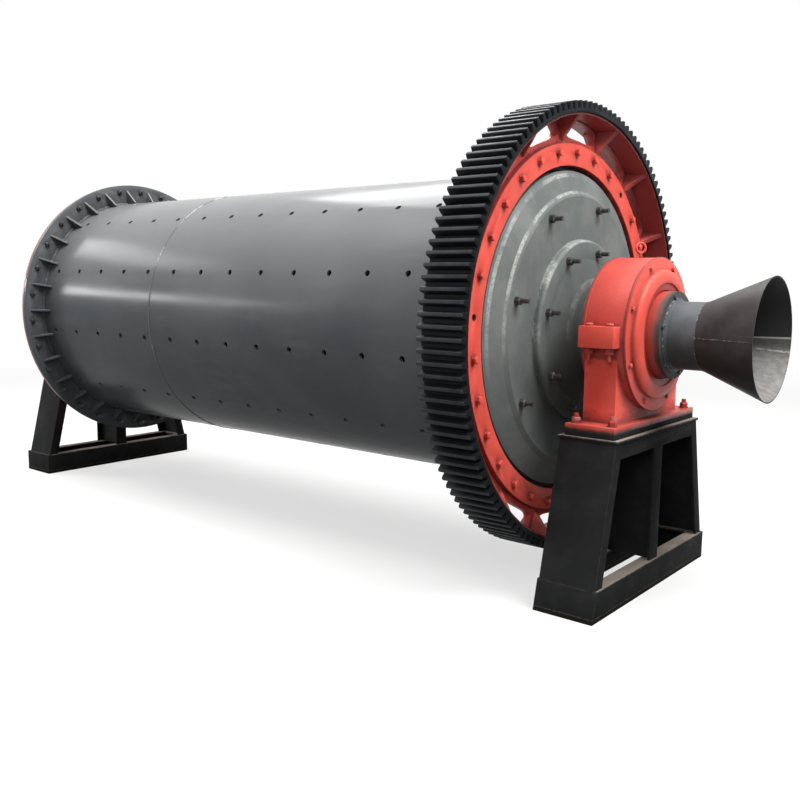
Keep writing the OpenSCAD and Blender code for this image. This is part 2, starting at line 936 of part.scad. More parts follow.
feed_shell_course();
discharge_shell_course();
feed_shell_flange();
discharge_shell_flange();
feed_gussets();
discharge_gussets();
feed_end_ring();
discharge_end_ring();
gear_rim();
gear_spider();
feed_end_cover();
discharge_end_cover();
feed_cover_disc();
discharge_cover_disc();
feed_hub_plate();
discharge_hub_plate();
feed_trunnion();
discharge_trunnion();
feed_collar();
discharge_collar();
discharge_tube();
discharge_horn();
feed_bearing_base();
discharge_bearing_base();
feed_bearing_cap();
discharge_bearing_cap();
feed_outer_cover();
discharge_outer_cover();
feed_inner_cover();
discharge_inner_cover();
feed_lifting_eye();
discharge_lifting_eye();
feed_sole_plate();
discharge_sole_plate();
feed_pedestal_base();
discharge_pedestal_base();
feed_pedestal_legs();
discharge_pedestal_legs();
feed_pedestal_post();
discharge_pedestal_post();
feed_pedestal_beam();
discharge_pedestal_beam();
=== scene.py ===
# %% [markdown]
# A ball mill is a long steel drum that turns on two hollow trunnions. This lesson dresses the bare
# construction model: paint, weld beads, bolts and studs. The construction model comes in as a fixed
# frame in metres, with the drum's axis along X and the ground at zero height.

# %% Load the frame
import json
import math

import bmesh
import bpy
from mathutils import Matrix, Vector


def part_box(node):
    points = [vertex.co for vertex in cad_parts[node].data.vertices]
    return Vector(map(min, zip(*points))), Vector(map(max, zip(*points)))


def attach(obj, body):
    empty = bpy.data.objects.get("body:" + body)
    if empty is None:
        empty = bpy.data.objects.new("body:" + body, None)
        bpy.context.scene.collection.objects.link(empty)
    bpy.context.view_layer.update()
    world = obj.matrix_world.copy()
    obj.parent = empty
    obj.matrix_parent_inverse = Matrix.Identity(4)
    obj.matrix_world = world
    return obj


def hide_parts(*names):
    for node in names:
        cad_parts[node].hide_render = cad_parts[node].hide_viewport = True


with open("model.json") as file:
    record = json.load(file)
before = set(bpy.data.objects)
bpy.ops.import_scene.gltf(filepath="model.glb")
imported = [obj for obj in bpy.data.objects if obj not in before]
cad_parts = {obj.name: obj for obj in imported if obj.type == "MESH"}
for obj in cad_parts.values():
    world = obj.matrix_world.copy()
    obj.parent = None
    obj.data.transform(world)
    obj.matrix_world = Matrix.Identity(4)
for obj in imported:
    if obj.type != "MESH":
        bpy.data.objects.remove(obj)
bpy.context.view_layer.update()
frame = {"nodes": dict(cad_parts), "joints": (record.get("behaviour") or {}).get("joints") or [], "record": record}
nodes = frame["nodes"]
print("nodes in the frame:", len(nodes))

# %% [markdown]
# Most places below are read from the frame, so that the dressing follows the construction; the circles
# of bolts and the sizes of bolts and beads are named values. A ring's radius is half its height, and
# its two faces are its lowest and highest X.

# %% Read sizes from the frame
def radius_of(name):
    low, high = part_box(name)
    return (high.z - low.z) / 2


def faces_of(name):
    low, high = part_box(name)
    return low.x, high.x


axis_height = frame["joints"][0]["pos_m"][2]
shell_radius = radius_of("feed_shell_course")
seam_station = faces_of("feed_shell_course")[1]
ENDS = ("feed", "discharge")
bearing_stations = {end: sum(faces_of(end + "_bearing_cap")) / 2 for end in ENDS}
print("axis height", round(axis_height, 3), "shell radius", round(shell_radius, 3))

# %% [markdown]
# The camera stands at eye level to one side of the discharge end, looking back along the drum. Its
# place, its turn and its lens are what make the rings of the photograph fall on their ellipses.

# %% Camera
CAMERA_PLACE = Vector((4.455, -4.679, 1.727))
CAMERA_YAW = math.radians(39.07)
CAMERA_PITCH = math.radians(7.82)
CAMERA_ROLL = math.radians(0.61)
CAMERA_LENS = 39.63
CAMERA_SENSOR = 36.0

camera_data = bpy.data.cameras.new("camera")
camera_data.lens = CAMERA_LENS
camera_data.sensor_width = CAMERA_SENSOR
camera_data.clip_end = 200.0
camera = bpy.data.objects.new("camera", camera_data)
bpy.context.scene.collection.objects.link(camera)
camera_turn = (
    Matrix.Rotation(CAMERA_YAW, 4, "Z")
    @ Matrix.Rotation(math.radians(90) - CAMERA_PITCH, 4, "X")
    @ Matrix.Rotation(CAMERA_ROLL, 4, "Z")
)
camera.matrix_world = Matrix.Translation(CAMERA_PLACE) @ camera_turn
bpy.context.scene.camera = camera
print("camera lens", CAMERA_LENS)

# %% [markdown]
# A finish is a small tree of shader nodes. This class keeps the wiring short: each method adds a
# node or a few and hands back the output. All patterns read Object coordinates, which are metres in the same
# frame as the construction, so a weld or a scuff can be put at a station along the drum.

# %% Helper for finishes
class Finish:
    def __init__(self, name):
        self.material = bpy.data.materials.new(name)
        self.material.use_nodes = True
        self.tree = self.material.node_tree
        self.tree.nodes.clear()
        self.place = self.add("ShaderNodeTexCoord").outputs["Object"]

    def add(self, kind, **settings):
        made = self.tree.nodes.new(kind)
        for key, value in settings.items():
            setattr(made, key, value)
        return made

    def feed(self, socket, value):
        if isinstance(value, bpy.types.NodeSocket):
            self.tree.links.new(value, socket)
        else:
            socket.default_value = value

    def stretched(self, x, y, z):
        node = self.add("ShaderNodeMapping")
        self.feed(node.inputs["Vector"], self.place)
        node.inputs["Scale"].default_value = (x, y, z)
        return node.outputs["Vector"]

    def noise(self, scale, detail=4.0, rough=0.55, place=None):
        node = self.add("ShaderNodeTexNoise")
        self.feed(node.inputs["Vector"], place or self.place)
        node.inputs["Scale"].default_value = scale
        node.inputs["Detail"].default_value = detail
        node.inputs["Roughness"].default_value = rough
        return node.outputs["Fac"]

    def ramp(self, value, low, high, start=0.0, end=1.0):
        node = self.add("ShaderNodeMapRange", interpolation_type="SMOOTHSTEP")
        for name, given in (
            ("Value", value), ("From Min", low), ("From Max", high), ("To Min", start), ("To Max", end),
        ):
            self.feed(node.inputs[name], given)
        return node.outputs["Result"]

    def band(self, value, low, high, soft):
        rise = self.ramp(value, low - soft, low + soft)
        return self.sum("MULTIPLY", rise, self.ramp(value, high - soft, high + soft, 1.0, 0.0))

    def sum(self, operation, a, b=0.0):
        node = self.add("ShaderNodeMath", operation=operation)
        self.feed(node.inputs[0], a)
        self.feed(node.inputs[1], b)
        return node.outputs["Value"]

    def mix(self, share, a, b):
        node = self.add("ShaderNodeMix", data_type="RGBA")
        self.feed(node.inputs["Factor"], share)
        self.feed(node.inputs[6], a)
        self.feed(node.inputs[7], b)
        return node.outputs[2]

    def axes(self):
        node = self.add("ShaderNodeSeparateXYZ")
        self.feed(node.inputs[0], self.place)
        return node.outputs

    def from_axis(self):
        _, y, z = self.axes()
        up = self.sum("SUBTRACT", z, axis_height)
        squares = self.sum("ADD", self.sum("MULTIPLY", y, y), self.sum("MULTIPLY", up, up))
        return self.sum("SQRT", squares)

    def facing(self):
        turn = self.add(
            "ShaderNodeVectorTransform", vector_type="NORMAL", convert_from="WORLD", convert_to="OBJECT"
        )
        self.feed(turn.inputs[0], self.add("ShaderNodeNewGeometry").outputs["Normal"])
        node = self.add("ShaderNodeSeparateXYZ")
        self.feed(node.inputs[0], turn.outputs[0])
        return node.outputs

    def looks_inward(self):
        _, y, z = self.axes()
        facing = self.facing()
        up = self.sum("SUBTRACT", z, axis_height)
        outward = self.sum("ADD", self.sum("MULTIPLY", facing[1], y), self.sum("MULTIPLY", facing[2], up))
        return self.ramp(outward, -0.03, -0.01, 1.0, 0.0)

    def off_bearing(self):
        x = self.axes()[0]
        away = [self.sum("ABSOLUTE", self.sum("SUBTRACT", x, bearing_stations[end])) for end in ENDS]
        return self.sum("MINIMUM", *away)

    def worn_edges(self, radius):
        soft = self.add("ShaderNodeBevel", samples=4)
        soft.inputs["Radius"].default_value = radius
        node = self.add("ShaderNodeVectorMath", operation="DOT_PRODUCT")
        self.feed(node.inputs[0], soft.outputs[0])
        self.feed(node.inputs[1], self.add("ShaderNodeNewGeometry").outputs["True Normal"])
        return self.ramp(node.outputs["Value"], 0.8, 0.97, 1.0, 0.0)

    def corners(self, reach):
        node = self.add("ShaderNodeAmbientOcclusion", samples=6)
        node.inputs["Distance"].default_value = reach
        return self.ramp(node.outputs["AO"], 0.45, 1.0, 1.0, 0.0)

    def bump(self, height, strength, depth):
        node = self.add("ShaderNodeBump")
        node.inputs["Strength"].default_value = strength
        node.inputs["Distance"].default_value = depth
        self.feed(node.inputs["Height"], height)
        return node.outputs["Normal"]

    def done(self, colour, roughness, normal, gloss=0.5):
        shader = self.add("ShaderNodeBsdfPrincipled")
        output = self.add("ShaderNodeOutputMaterial")
        shader.inputs["Specular IOR Level"].default_value = gloss
        self.feed(shader.inputs["Base Color"], colour)
        self.feed(shader.inputs["Roughness"], roughness)
        self.feed(shader.inputs["Normal"], normal)
        self.tree.links.new(shader.outputs["BSDF"], output.inputs["Surface"])
        return self.material


def grey(level, warm=0.0):
    return (level * (1 + warm), level, level * (1 - warm), 1.0)


print("a neutral grey is", grey(0.5))

# %% [markdown]
# The shell wears a semi-gloss dark grey paint, rolled on over plate that isn't quite flat. Broad
# faint clouds and fine streaks along the drum keep it from looking like plastic, and the faces that
# look up are painted lighter, a painted top light.

# %% Shell paint
def make_shell_paint():
    f = Finish("shell_paint")
    clouds = f.noise(1.3, 5.0, 0.6)
    streaks = f.noise(5.0, 4.0, 0.6, f.stretched(0.35, 1.6, 1.6))
    grain = f.noise(260.0, 2.0, 0.5)
    base = f.mix(f.ramp(clouds, 0.35, 0.7), grey(0.078, -0.08), grey(0.1, -0.06))
    streaked = f.mix(f.ramp(streaks, 0.5, 0.85, 0.0, 0.3), base, grey(0.17, 0.03))
    # Painted top light: faces that look up are painted lighter.
    painted_top_light = f.ramp(f.facing()[2], -0.15, 0.7, 0.0, 0.46)
    colour = f.mix(painted_top_light, streaked, grey(0.2, 0.01))
    rough = f.ramp(f.sum("ADD", streaks, clouds), 0.7, 1.4, 0.17, 0.27)
    dents = f.sum("ADD", clouds, f.sum("MULTIPLY", grain, 0.02))
    return f.done(colour, rough, f.bump(dents, 0.08, 0.02), gloss=0.035)


shell_paint = make_shell_paint()
print("made", shell_paint.name)

# %% [markdown]
# Red overspray from the housings fades out across the trunnion ends, so two finishes need the same
# mask: how far a point lies outside its nearer bearing, broken up by a little noise.

# %% Overspray mask
OVERSPRAY_RED = (0.5, 0.055, 0.04, 1)


def overspray(f, clouds):
    x = f.axes()[0]
    beyond = f.sum("SUBTRACT", x, bearing_stations["discharge"])
    before = f.sum("SUBTRACT", bearing_stations["feed"], x)
    out = f.sum("MAXIMUM", beyond, before)
    ragged = f.sum("ADD", out, f.sum("MULTIPLY", f.sum("SUBTRACT", clouds, 0.5), 0.05))
    near = faces_of("discharge_outer_cover")[1] - bearing_stations["discharge"]
    far = faces_of("discharge_collar")[1] - bearing_stations["discharge"]
    return f.ramp(ragged, near, far, 0.9, 0.0)


print("overspray red", OVERSPRAY_RED[:3])

# %% [markdown]
# The end covers are painted a lighter, greenish grey. Where plates are welded together the paint
# broke on the rough bead and stayed whitish, and painted highlights lie on the welded steps, both
# most of all on the upper near side; near the bearing and below it the cover is painted darker, as
# painted shade. Each band lies at its own distance from the axis, so a mask on that distance draws it
# and no picture is needed.

# %% Cover paint
disc_radius = radius_of("discharge_cover_disc")
hub_radius = radius_of("discharge_hub_plate")
collar_radius = radius_of("discharge_collar")
WELD_BANDS = (
    (disc_radius - 0.014, disc_radius + 0.003, 0.9),
    (hub_radius - 0.012, hub_radius + 0.003, 1.0),
    (shell_radius - 0.036, shell_radius - 0.014, 0.85),
    (collar_radius + 0.03, collar_radius + 0.065, 0.55),
)


def make_cover_paint():
    f = Finish("cover_paint")
    clouds = f.noise(3.2, 6.0, 0.62)
    runs = f.noise(9.0, 4.0, 0.6, f.stretched(1.0, 2.0, 0.35))
    grain = f.noise(180.0, 2.0, 0.5)
    crumbs = f.noise(60.0, 6.0, 0.75)
    base = f.mix(f.ramp(clouds, 0.35, 0.68), (0.118, 0.134, 0.13, 1), (0.176, 0.19, 0.184, 1))
    streaked = f.mix(f.ramp(runs, 0.58, 0.8, 0.0, 0.35), base, (0.25, 0.255, 0.235, 1))
    _, y, z = f.axes()
    reach = f.from_axis()
    bands = 0.0
    for low, high, share in WELD_BANDS:
        bands = f.sum("ADD", bands, f.sum("MULTIPLY", f.band(reach, low, high, 0.004), share))
    # The pale bands are partly whitish weld paint and partly painted highlights, kept to the upper near side.
    upper_near = f.sum("DIVIDE", f.sum("SUBTRACT", f.sum("SUBTRACT", z, axis_height), y), reach)
    side = f.ramp(upper_near, 0.6, 1.4, 0.0, 1.0)
    broken = f.ramp(f.noise(5.0), 0.38, 0.6, 0.1, 0.8)
    patchy = f.sum("MULTIPLY", f.ramp(crumbs, 0.3, 0.62, 0.15, 1.0), broken)
    weld_white_and_highlight = f.sum("MULTIPLY", f.sum("MULTIPLY", bands, side), patchy)
    # Painted shade: the cover is painted darker near the neck, in the housing's shadow, and below the axis.
    by_neck = f.ramp(reach, collar_radius + 0.1, hub_radius, 0.55, 0.0)
    below = f.ramp(z, axis_height - 0.35, axis_height + 0.25, 0.8, 0.0)
    spread = f.ramp(reach, hub_radius - 0.1, shell_radius, 1.0, 0.15)
    neck_and_low_shade = f.sum("MAXIMUM", by_neck, f.sum("MULTIPLY", below, spread))
    with_painted_shade = f.mix(neck_and_low_shade, streaked, (0.045, 0.05, 0.048, 1))
    welded_over = f.mix(weld_white_and_highlight, with_painted_shade, (0.55, 0.56, 0.53, 1))
    inner_reach = bearing_stations["discharge"] - faces_of("discharge_inner_cover")[0]
    on_journal = f.ramp(f.off_bearing(), inner_reach, inner_reach + 0.07, 1.0, 0.0)
    red_mist = f.sum("MULTIPLY", overspray(f, f.noise(14.0)), on_journal)
    sprayed = f.mix(red_mist, welded_over, OVERSPRAY_RED)
    colour = f.mix(f.looks_inward(), sprayed, grey(0.07, 0.03))
    rough = f.ramp(clouds, 0.3, 0.7, 0.38, 0.55)
    relief = f.sum("MULTIPLY", f.sum("MULTIPLY", weld_white_and_highlight, crumbs), 0.5)
    height = f.sum("ADD", f.sum("MULTIPLY", clouds, 0.6), f.sum("MULTIPLY", grain, 0.04))
    return f.done(colour, rough, f.bump(f.sum("ADD", height, relief), 0.35, 0.01), gloss=0.04)


cover_paint = make_cover_paint()
print("made", cover_paint.name)

# %% [markdown]
# The housings, the clamp rings and the spider are brushed with a vermilion enamel. Its corners,
# found here by how much of the view from a point is blocked, are painted darker, partly dirt and
# partly painted shade, and the spider is painted darker between its arms as painted shade.
# Joints between red pieces show as dark lines, and black grease has come out of two empty bolt holes.
# Low on a housing the enamel is scuffed, and the black of the pedestal has been sprayed over the foot's
# lower edge. The nuts under the lugs and on the feet wear a darker copy of it.

# %% Red enamel
FOOT_THICKNESS = 0.033
RING_BOLTS = 30
FIRST_BOLT = {"feed": math.radians(4.0), "discharge": math.radians(6.3)}
# The places in the ring that have no bolt; -1 is none
EMPTY_HOLES = {"feed": (-1, -1), "discharge": (4, 14)}
FLANGE_BOLT_HEIGHT = 0.101
GREASE_RADIUS = 0.021
flange_circle = shell_radius + FLANGE_BOLT_HEIGHT


def shaded(colour, shade):
    return tuple(part * shade for part in colour) + (1.0,)


def dark_line(f, reach, radius):
    return f.sum("MULTIPLY", f.band(reach, radius - 0.003, radius + 0.004, 0.003), 0.75)


def round_empty_holes(f):
    x, y, z = f.axes()
    black = 0.0
    for hole in EMPTY_HOLES["discharge"]:
        angle = FIRST_BOLT["discharge"] + math.tau * hole / RING_BOLTS
        across = f.sum("SUBTRACT", y, flange_circle * math.cos(angle))
        up = f.sum("SUBTRACT", z, axis_height + flange_circle * math.sin(angle))
        away = f.sum("SQRT", f.sum("ADD", f.sum("MULTIPLY", across, across), f.sum("MULTIPLY", up, up)))
        black = f.sum("ADD", black, f.ramp(away, GREASE_RADIUS - 0.004, GREASE_RADIUS, 0.95, 0.0))
    return f.sum("MULTIPLY", black, f.ramp(x, 0.0, 0.1))


def make_red_enamel(name, shade, edge_wear):
    f = Finish(name)
    clouds = f.noise(4.0, 5.0, 0.6)
    grime = f.noise(14.0, 6.0, 0.65)
    fine = f.noise(70.0, 3.0, 0.6)
    base = f.mix(
        f.ramp(clouds, 0.35, 0.7), shaded((0.67, 0.084, 0.06), shade), shaded((0.77, 0.108, 0.078), shade)
    )
    spots = f.ramp(grime, 0.58, 0.78, 0.0, 0.35)
    # Corners are painted darker where the view is blocked: painted shade, with some dirt.
    corners = f.sum("MULTIPLY", f.corners(0.07), f.ramp(grime, 0.3, 0.6, 0.55, 0.95))
    ring_edge = radius_of("discharge_end_ring")
    reach = f.from_axis()
    # Painted shade: the spider is painted darker outward between its arms.
    between_arms = f.ramp(reach, ring_edge + 0.005, ring_edge + 0.1, 0.0, 0.82)
    cover_edge = radius_of("discharge_outer_cover")
    joints = f.sum("ADD", dark_line(f, reach, ring_edge), dark_line(f, reach, cover_edge))
    dirt_and_shade = f.sum("MAXIMUM", f.sum("MAXIMUM", spots, corners), f.sum("MAXIMUM", between_arms, joints))
    lip = radius_of("gear_spider") - 0.03
    along_axis = f.ramp(f.sum("ABSOLUTE", f.facing()[0]), 0.6, 0.8)
    black_lip = f.sum("MULTIPLY", f.ramp(reach, lip, lip + 0.004), along_axis)
    blacked = f.sum("MAXIMUM", black_lip, round_empty_holes(f))
    lipped = f.mix(blacked, base, (0.02, 0.014, 0.014, 1))
    dirty_and_shaded = f.mix(dirt_and_shade, lipped, (0.13, 0.027, 0.028, 1))
    bright = f.sum("MULTIPLY", f.worn_edges(0.004), f.ramp(fine, 0.4, 0.62, 0.1, edge_wear))
    edged = f.mix(bright, dirty_and_shaded, (0.9, 0.28, 0.21, 1))
    z = f.axes()[2]
    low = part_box("discharge_bearing_base")[0].z
    foot_low, foot_high = faces_of("discharge_bearing_base")
    foot_half = (foot_high - foot_low) / 2
    on_housing = f.ramp(f.off_bearing(), foot_half + 0.01, foot_half + 0.02, 1.0, 0.0)
    smears = f.noise(16.0, 5.0, 0.7, f.stretched(0.35, 0.35, 1.5))
    dusty = f.sum("MULTIPLY", f.ramp(smears, 0.5, 0.64), f.ramp(z, low + 0.03, low + 0.16, 0.55, 0.0))
    foot_top = low + FOOT_THICKNESS
    on_foot = f.sum("MULTIPLY", f.ramp(z, foot_top + 0.004, foot_top + 0.02, 0.3, 0.0), on_housing)
    trodden = f.mix(on_foot, edged, (0.12, 0.05, 0.045, 1))
    scuffed = f.mix(f.sum("MULTIPLY", dusty, on_housing), trodden, (0.55, 0.33, 0.28, 1))
    ragged = f.sum("ADD", z, f.sum("MULTIPLY", f.sum("SUBTRACT", grime, 0.5), 0.02))
    blackened = f.sum("MULTIPLY", f.ramp(ragged, low, low + 0.026, 1.0, 0.0), on_housing)
    colour = f.mix(blackened, scuffed, (0.02, 0.014, 0.012, 1))
    rough = f.ramp(clouds, 0.3, 0.7, 0.34, 0.5)
    height = f.sum("ADD", f.sum("MULTIPLY", grime, 0.7), f.sum("MULTIPLY", fine, 0.35))
    return f.done(colour, rough, f.bump(height, 0.5, 0.006), gloss=0.2)


red_enamel = make_red_enamel("red_enamel", 1.0, 0.6)
# A darker copy of the enamel, for the nuts.
darker_enamel = make_red_enamel("darker_enamel", 0.56, 0.1)
print("made", red_enamel.name, darker_enamel.name)

# %% [markdown]
# The toothed rim is black, with a dry sheen on its lands where it has been handled. The studs and nuts
# of the end covers are a similar dark steel.

# %% Gear black and dark steel
def make_gear_black():
    f = Finish("gear_black")
    clouds = f.noise(9.0, 5.0, 0.6)
    reach = f.from_axis()
    tip = radius_of("gear_rim")
    worn = f.sum("MULTIPLY", f.ramp(reach, tip - 0.006, tip - 0.001), f.ramp(clouds, 0.3, 0.7, 0.5, 1.0))
    colour = f.mix(worn, grey(0.01, -0.08), grey(0.045, -0.08))
    rough = f.ramp(clouds, 0.3, 0.7, 0.36, 0.55)
    return f.done(colour, rough, f.bump(clouds, 0.15, 0.004), gloss=0.05)


def make_dark_steel():
    f = Finish("dark_steel")
    clouds = f.noise(60.0, 4.0, 0.6)
    colour = f.mix(f.ramp(clouds, 0.35, 0.7), grey(0.018, 0.02), grey(0.05, 0.05))
    return f.done(colour, f.ramp(clouds, 0.3, 0.7, 0.35, 0.55), f.bump(clouds, 0.2, 0.001))


gear_black = make_gear_black()
dark_steel = make_dark_steel()
print("made", gear_black.name, dark_steel.name)

# %% [markdown]
# The pedestals are black too, but dusty: a brownish grey lies on the faces that look up, and a
# thin pale line, partly dust and partly a painted highlight, runs along the upper edges. The base
# is painted darker for its lowest few centimetres, with a pale painted highlight line along the top of that band.

# %% Pedestal black
LOW_BAND_HEIGHT = 0.026


def make_stand_black():
    f = Finish("stand_black")
    clouds = f.noise(5.0, 6.0, 0.65)
    fine = f.noise(40.0, 4.0, 0.6)
    _, y, z = f.axes()
    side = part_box("discharge_pedestal_base")[1].y
    off_side = f.ramp(f.sum("ABSOLUTE", y), side - 0.04, side - 0.03, 1.0, 0.15)
    upward = f.sum("MULTIPLY", f.ramp(f.facing()[2], 0.5, 0.95), off_side)
    base = f.mix(f.ramp(clouds, 0.4, 0.7), grey(0.02, -0.03), grey(0.028, -0.01))
    # The lowest few centimetres of the pedestal are painted darker.
    low_band = f.ramp(z, LOW_BAND_HEIGHT - 0.008, LOW_BAND_HEIGHT, 0.7, 0.0)
    low_banded = f.mix(low_band, base, (0.018, 0.014, 0.01, 1))
    # Pale lines: a painted highlight along the top of the low band, and along the upper edges partly dust and
    # partly painted highlight.
    edges = f.band(z, LOW_BAND_HEIGHT - 0.003, LOW_BAND_HEIGHT, 0.002)
    for node in ("discharge_pedestal_base", "discharge_pedestal_beam"):
        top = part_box(node)[1].z
        edges = f.sum("ADD", edges, f.sum("MULTIPLY", f.band(z, top - 0.006, top, 0.002), off_side))
    worn = f.sum("MULTIPLY", f.worn_edges(0.005), 0.4)
    dust_and_highlight_lines = f.sum("MULTIPLY", f.sum("MAXIMUM", edges, worn), f.ramp(fine, 0.4, 0.6, 0.1, 0.6))
    lined = f.mix(dust_and_highlight_lines, low_banded, (0.2, 0.19, 0.165, 1))
    dust = f.sum("MULTIPLY", upward, f.ramp(clouds, 0.3, 0.6, 0.6, 0.95))
    colour = f.mix(dust, lined, (0.24, 0.205, 0.175, 1))
    rough = f.ramp(fine, 0.3, 0.7, 0.45, 0.62)
    height = f.sum("ADD", clouds, f.sum("MULTIPLY", fine, 0.15))
    return f.done(colour, rough, f.bump(height, 0.12, 0.004), gloss=0.004)


stand_black = make_stand_black()
print("made", stand_black.name)

# %% [markdown]
# The collar and the tube are cool greys, the horn a darker and browner sheet, all painted darker below as painted
# shade.
# Inside, the lower side is painted pale as painted light and the upper side dark as painted shade, with painted
# highlights:
# a bright line level with the seam and another under it. The inside is told from the outside by whether a face
# looks toward the drum's axis, and the lines by how far below the axis a point lies for its distance from it.

# %% Spout paint
def make_spout_paint():
    f = Finish("spout_paint")
    clouds = f.noise(6.0, 5.0, 0.6)
    fine = f.noise(45.0, 4.0, 0.6, f.stretched(0.4, 1.0, 1.0))
    x, _, z = f.axes()
    sink = f.sum("DIVIDE", f.sum("SUBTRACT", axis_height, z), f.from_axis())
    pipe = f.mix(f.ramp(clouds, 0.35, 0.7), (0.07, 0.077, 0.082, 1), (0.105, 0.112, 0.118, 1))
    sheet = f.mix(f.ramp(clouds, 0.35, 0.7), grey(0.034, 0.03), grey(0.055, 0.02))
    joint = faces_of("discharge_horn")[0]
    collar_face = faces_of("discharge_collar")[1]
    outer = f.mix(f.ramp(x, joint - 0.004, joint + 0.004), pipe, sheet)
    on_collar = f.ramp(x, collar_face - 0.002, collar_face + 0.004, 1.0, 0.0)
    clean = f.mix(on_collar, outer, (0.058, 0.066, 0.062, 1))
    # Painted shade: the outside is painted darker below the axis.
    paint = f.mix(f.ramp(sink, -0.1, 0.75, 0.0, 0.65), clean, grey(0.024, 0.0))
    sprayed = f.mix(overspray(f, f.noise(14.0)), paint, OVERSPRAY_RED)
    # Painted light and shade inside: the lower side is painted pale as if lit, the upper side dark as if shaded.
    painted_lit_inside = f.mix(f.ramp(fine, 0.35, 0.7), grey(0.17, 0.03), grey(0.25, 0.04))
    worn = f.sum("MULTIPLY", f.ramp(sink, 0.1, 0.45, 0.25, 1.0), f.ramp(sink, -0.01, 0.01))
    painted_light_and_shade_inside = f.mix(worn, grey(0.028, -0.02), painted_lit_inside)
    # Painted highlights: a bright line level with the seam and a second one below it.
    lower_glint = f.sum("MULTIPLY", f.band(sink, 0.24, 0.27, 0.015), f.ramp(fine, 0.4, 0.6))
    glints = f.sum("MAXIMUM", f.band(sink, 0.005, 0.03, 0.012), lower_glint)
    bright = f.mix(f.sum("MULTIPLY", glints, 0.8), painted_light_and_shade_inside, grey(0.42, 0.02))
    colour = f.mix(f.looks_inward(), sprayed, bright)
    rough = f.ramp(clouds, 0.3, 0.7, 0.4, 0.56)
    height = f.sum("ADD", clouds, f.sum("MULTIPLY", fine, 0.2))
    return f.done(colour, rough, f.bump(height, 0.2, 0.006), gloss=0.06)


spout_paint = make_spout_paint()
print("made", spout_paint.name)

# %% [markdown]
# Weld beads took the paint badly. The shell's seam stays whitish and crumbly on its upper half and dark
# below, and the thin seams of the spout show as pale dashes. Noise draws both, and the same noise also
# lifts the surface a little.

# %% Weld paint
def make_weld_paint():
    f = Finish("weld_paint")
    clouds = f.noise(7.0, 4.0, 0.6)
    crumbs = f.noise(120.0, 4.0, 0.7)
    pale = f.mix(f.ramp(crumbs, 0.35, 0.65), (0.12, 0.128, 0.124, 1), (0.55, 0.56, 0.53, 1))
    upper_half = f.ramp(f.axes()[2], axis_height - 0.5, axis_height + 0.2)
    bare = f.sum("MULTIPLY", upper_half, f.ramp(clouds, 0.42, 0.56))
    colour = f.mix(bare, (0.06, 0.063, 0.063, 1), pale)
    return f.done(colour, f.ramp(crumbs, 0.3, 0.7, 0.5, 0.75), f.bump(crumbs, 0.5, 0.004))


def make_seam_paint():
    f = Finish("seam_paint")
    dashes = f.noise(55.0, 3.0, 0.7)
    colour = f.mix(f.ramp(dashes, 0.5, 0.66, 0.0, 0.8), grey(0.05, 0.0), grey(0.4, 0.02))
    return f.done(colour, f.ramp(dashes, 0.3, 0.7, 0.5, 0.7), f.bump(dashes, 0.4, 0.002), gloss=0.2)


weld_paint = make_weld_paint()
seam_paint = make_seam_paint()
print("made", weld_paint.name, seam_paint.name)

# %% [markdown]
# Each piece of the construction names the slot of its finish. The finishes could be put on by hand, one
# piece at a time; a table from slot to finish does all of them and still works if pieces are added.

# %% Put the finishes on the construction
FINISH_OF_SLOT = {
    "shell_grey": shell_paint,
    "cover_grey": cover_paint,
    "machine_red": red_enamel,
    "gear_black": gear_black,
    "stand_black": stand_black,
    "spout_grey": spout_paint,
}
for part in frame["record"]["subparts"]:
    mesh = nodes[part["node"]].data
    mesh.materials.clear()
    mesh.materials.append(FINISH_OF_SLOT[part["material_slot"]])

# %% [markdown]
# A real edge is never knife sharp: it is cast, flame-cut or painted over, and its small round catches
# the light. One could model each round, but a bevel on a merged copy of the construction mesh does it
# for every edge at once. The loose triangles are merged first, so that edges exist at all, and flat
# faces are dissolved, so that only true edges are bevelled.

# %% Rounded copies of single pieces
MERGE_GAP = 1e-5
FLAT_ANGLE = math.radians(0.4)
EDGE_ANGLE = math.radians(25)
SMOOTH_ANGLE = math.radians(32)
slot_of = {part["node"]: part["material_slot"] for part in frame["record"]["subparts"]}
body_of = {
    name: body for body, names in frame["record"]["behaviour"]["bodies"].items() for name in names
}


def merged_copy(name):
    shape = bmesh.new()
    shape.from_mesh(nodes[name].data)
    bmesh.ops.remove_doubles(shape, verts=shape.verts, dist=MERGE_GAP)
    return shape


def round_edges(shape, width):
    bmesh.ops.dissolve_limit(
        shape, angle_limit=FLAT_ANGLE, verts=shape.verts, edges=shape.edges, delimit={"NORMAL"}
    )
    edges = [e for e in shape.edges if len(e.link_faces) == 2 and e.calc_face_angle(0) > EDGE_ANGLE]
    bmesh.ops.bevel(
        shape, geom=edges, offset=width, offset_type="OFFSET", segments=2, profile=0.5,
        affect="EDGES", clamp_overlap=True,
    )


def put_in_place(shape, name, stands_for):
    mesh = bpy.data.meshes.new(name)
    shape.to_mesh(mesh)
    shape.free()
    mesh.polygons.foreach_set("use_smooth", [True] * len(mesh.polygons))
    mesh.set_sharp_from_angle(angle=SMOOTH_ANGLE)
    mesh.materials.append(FINISH_OF_SLOT[slot_of[stands_for[0]]])
    piece = bpy.data.objects.new(name, mesh)
    bpy.context.scene.collection.objects.link(piece)
    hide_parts(*stands_for)
    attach(piece, body_of[stands_for[0]])
    return piece


def rounded(name, width):
    shape = merged_copy(name)
    round_edges(shape, width)
    put_in_place(shape, "rounded_" + name, [name])


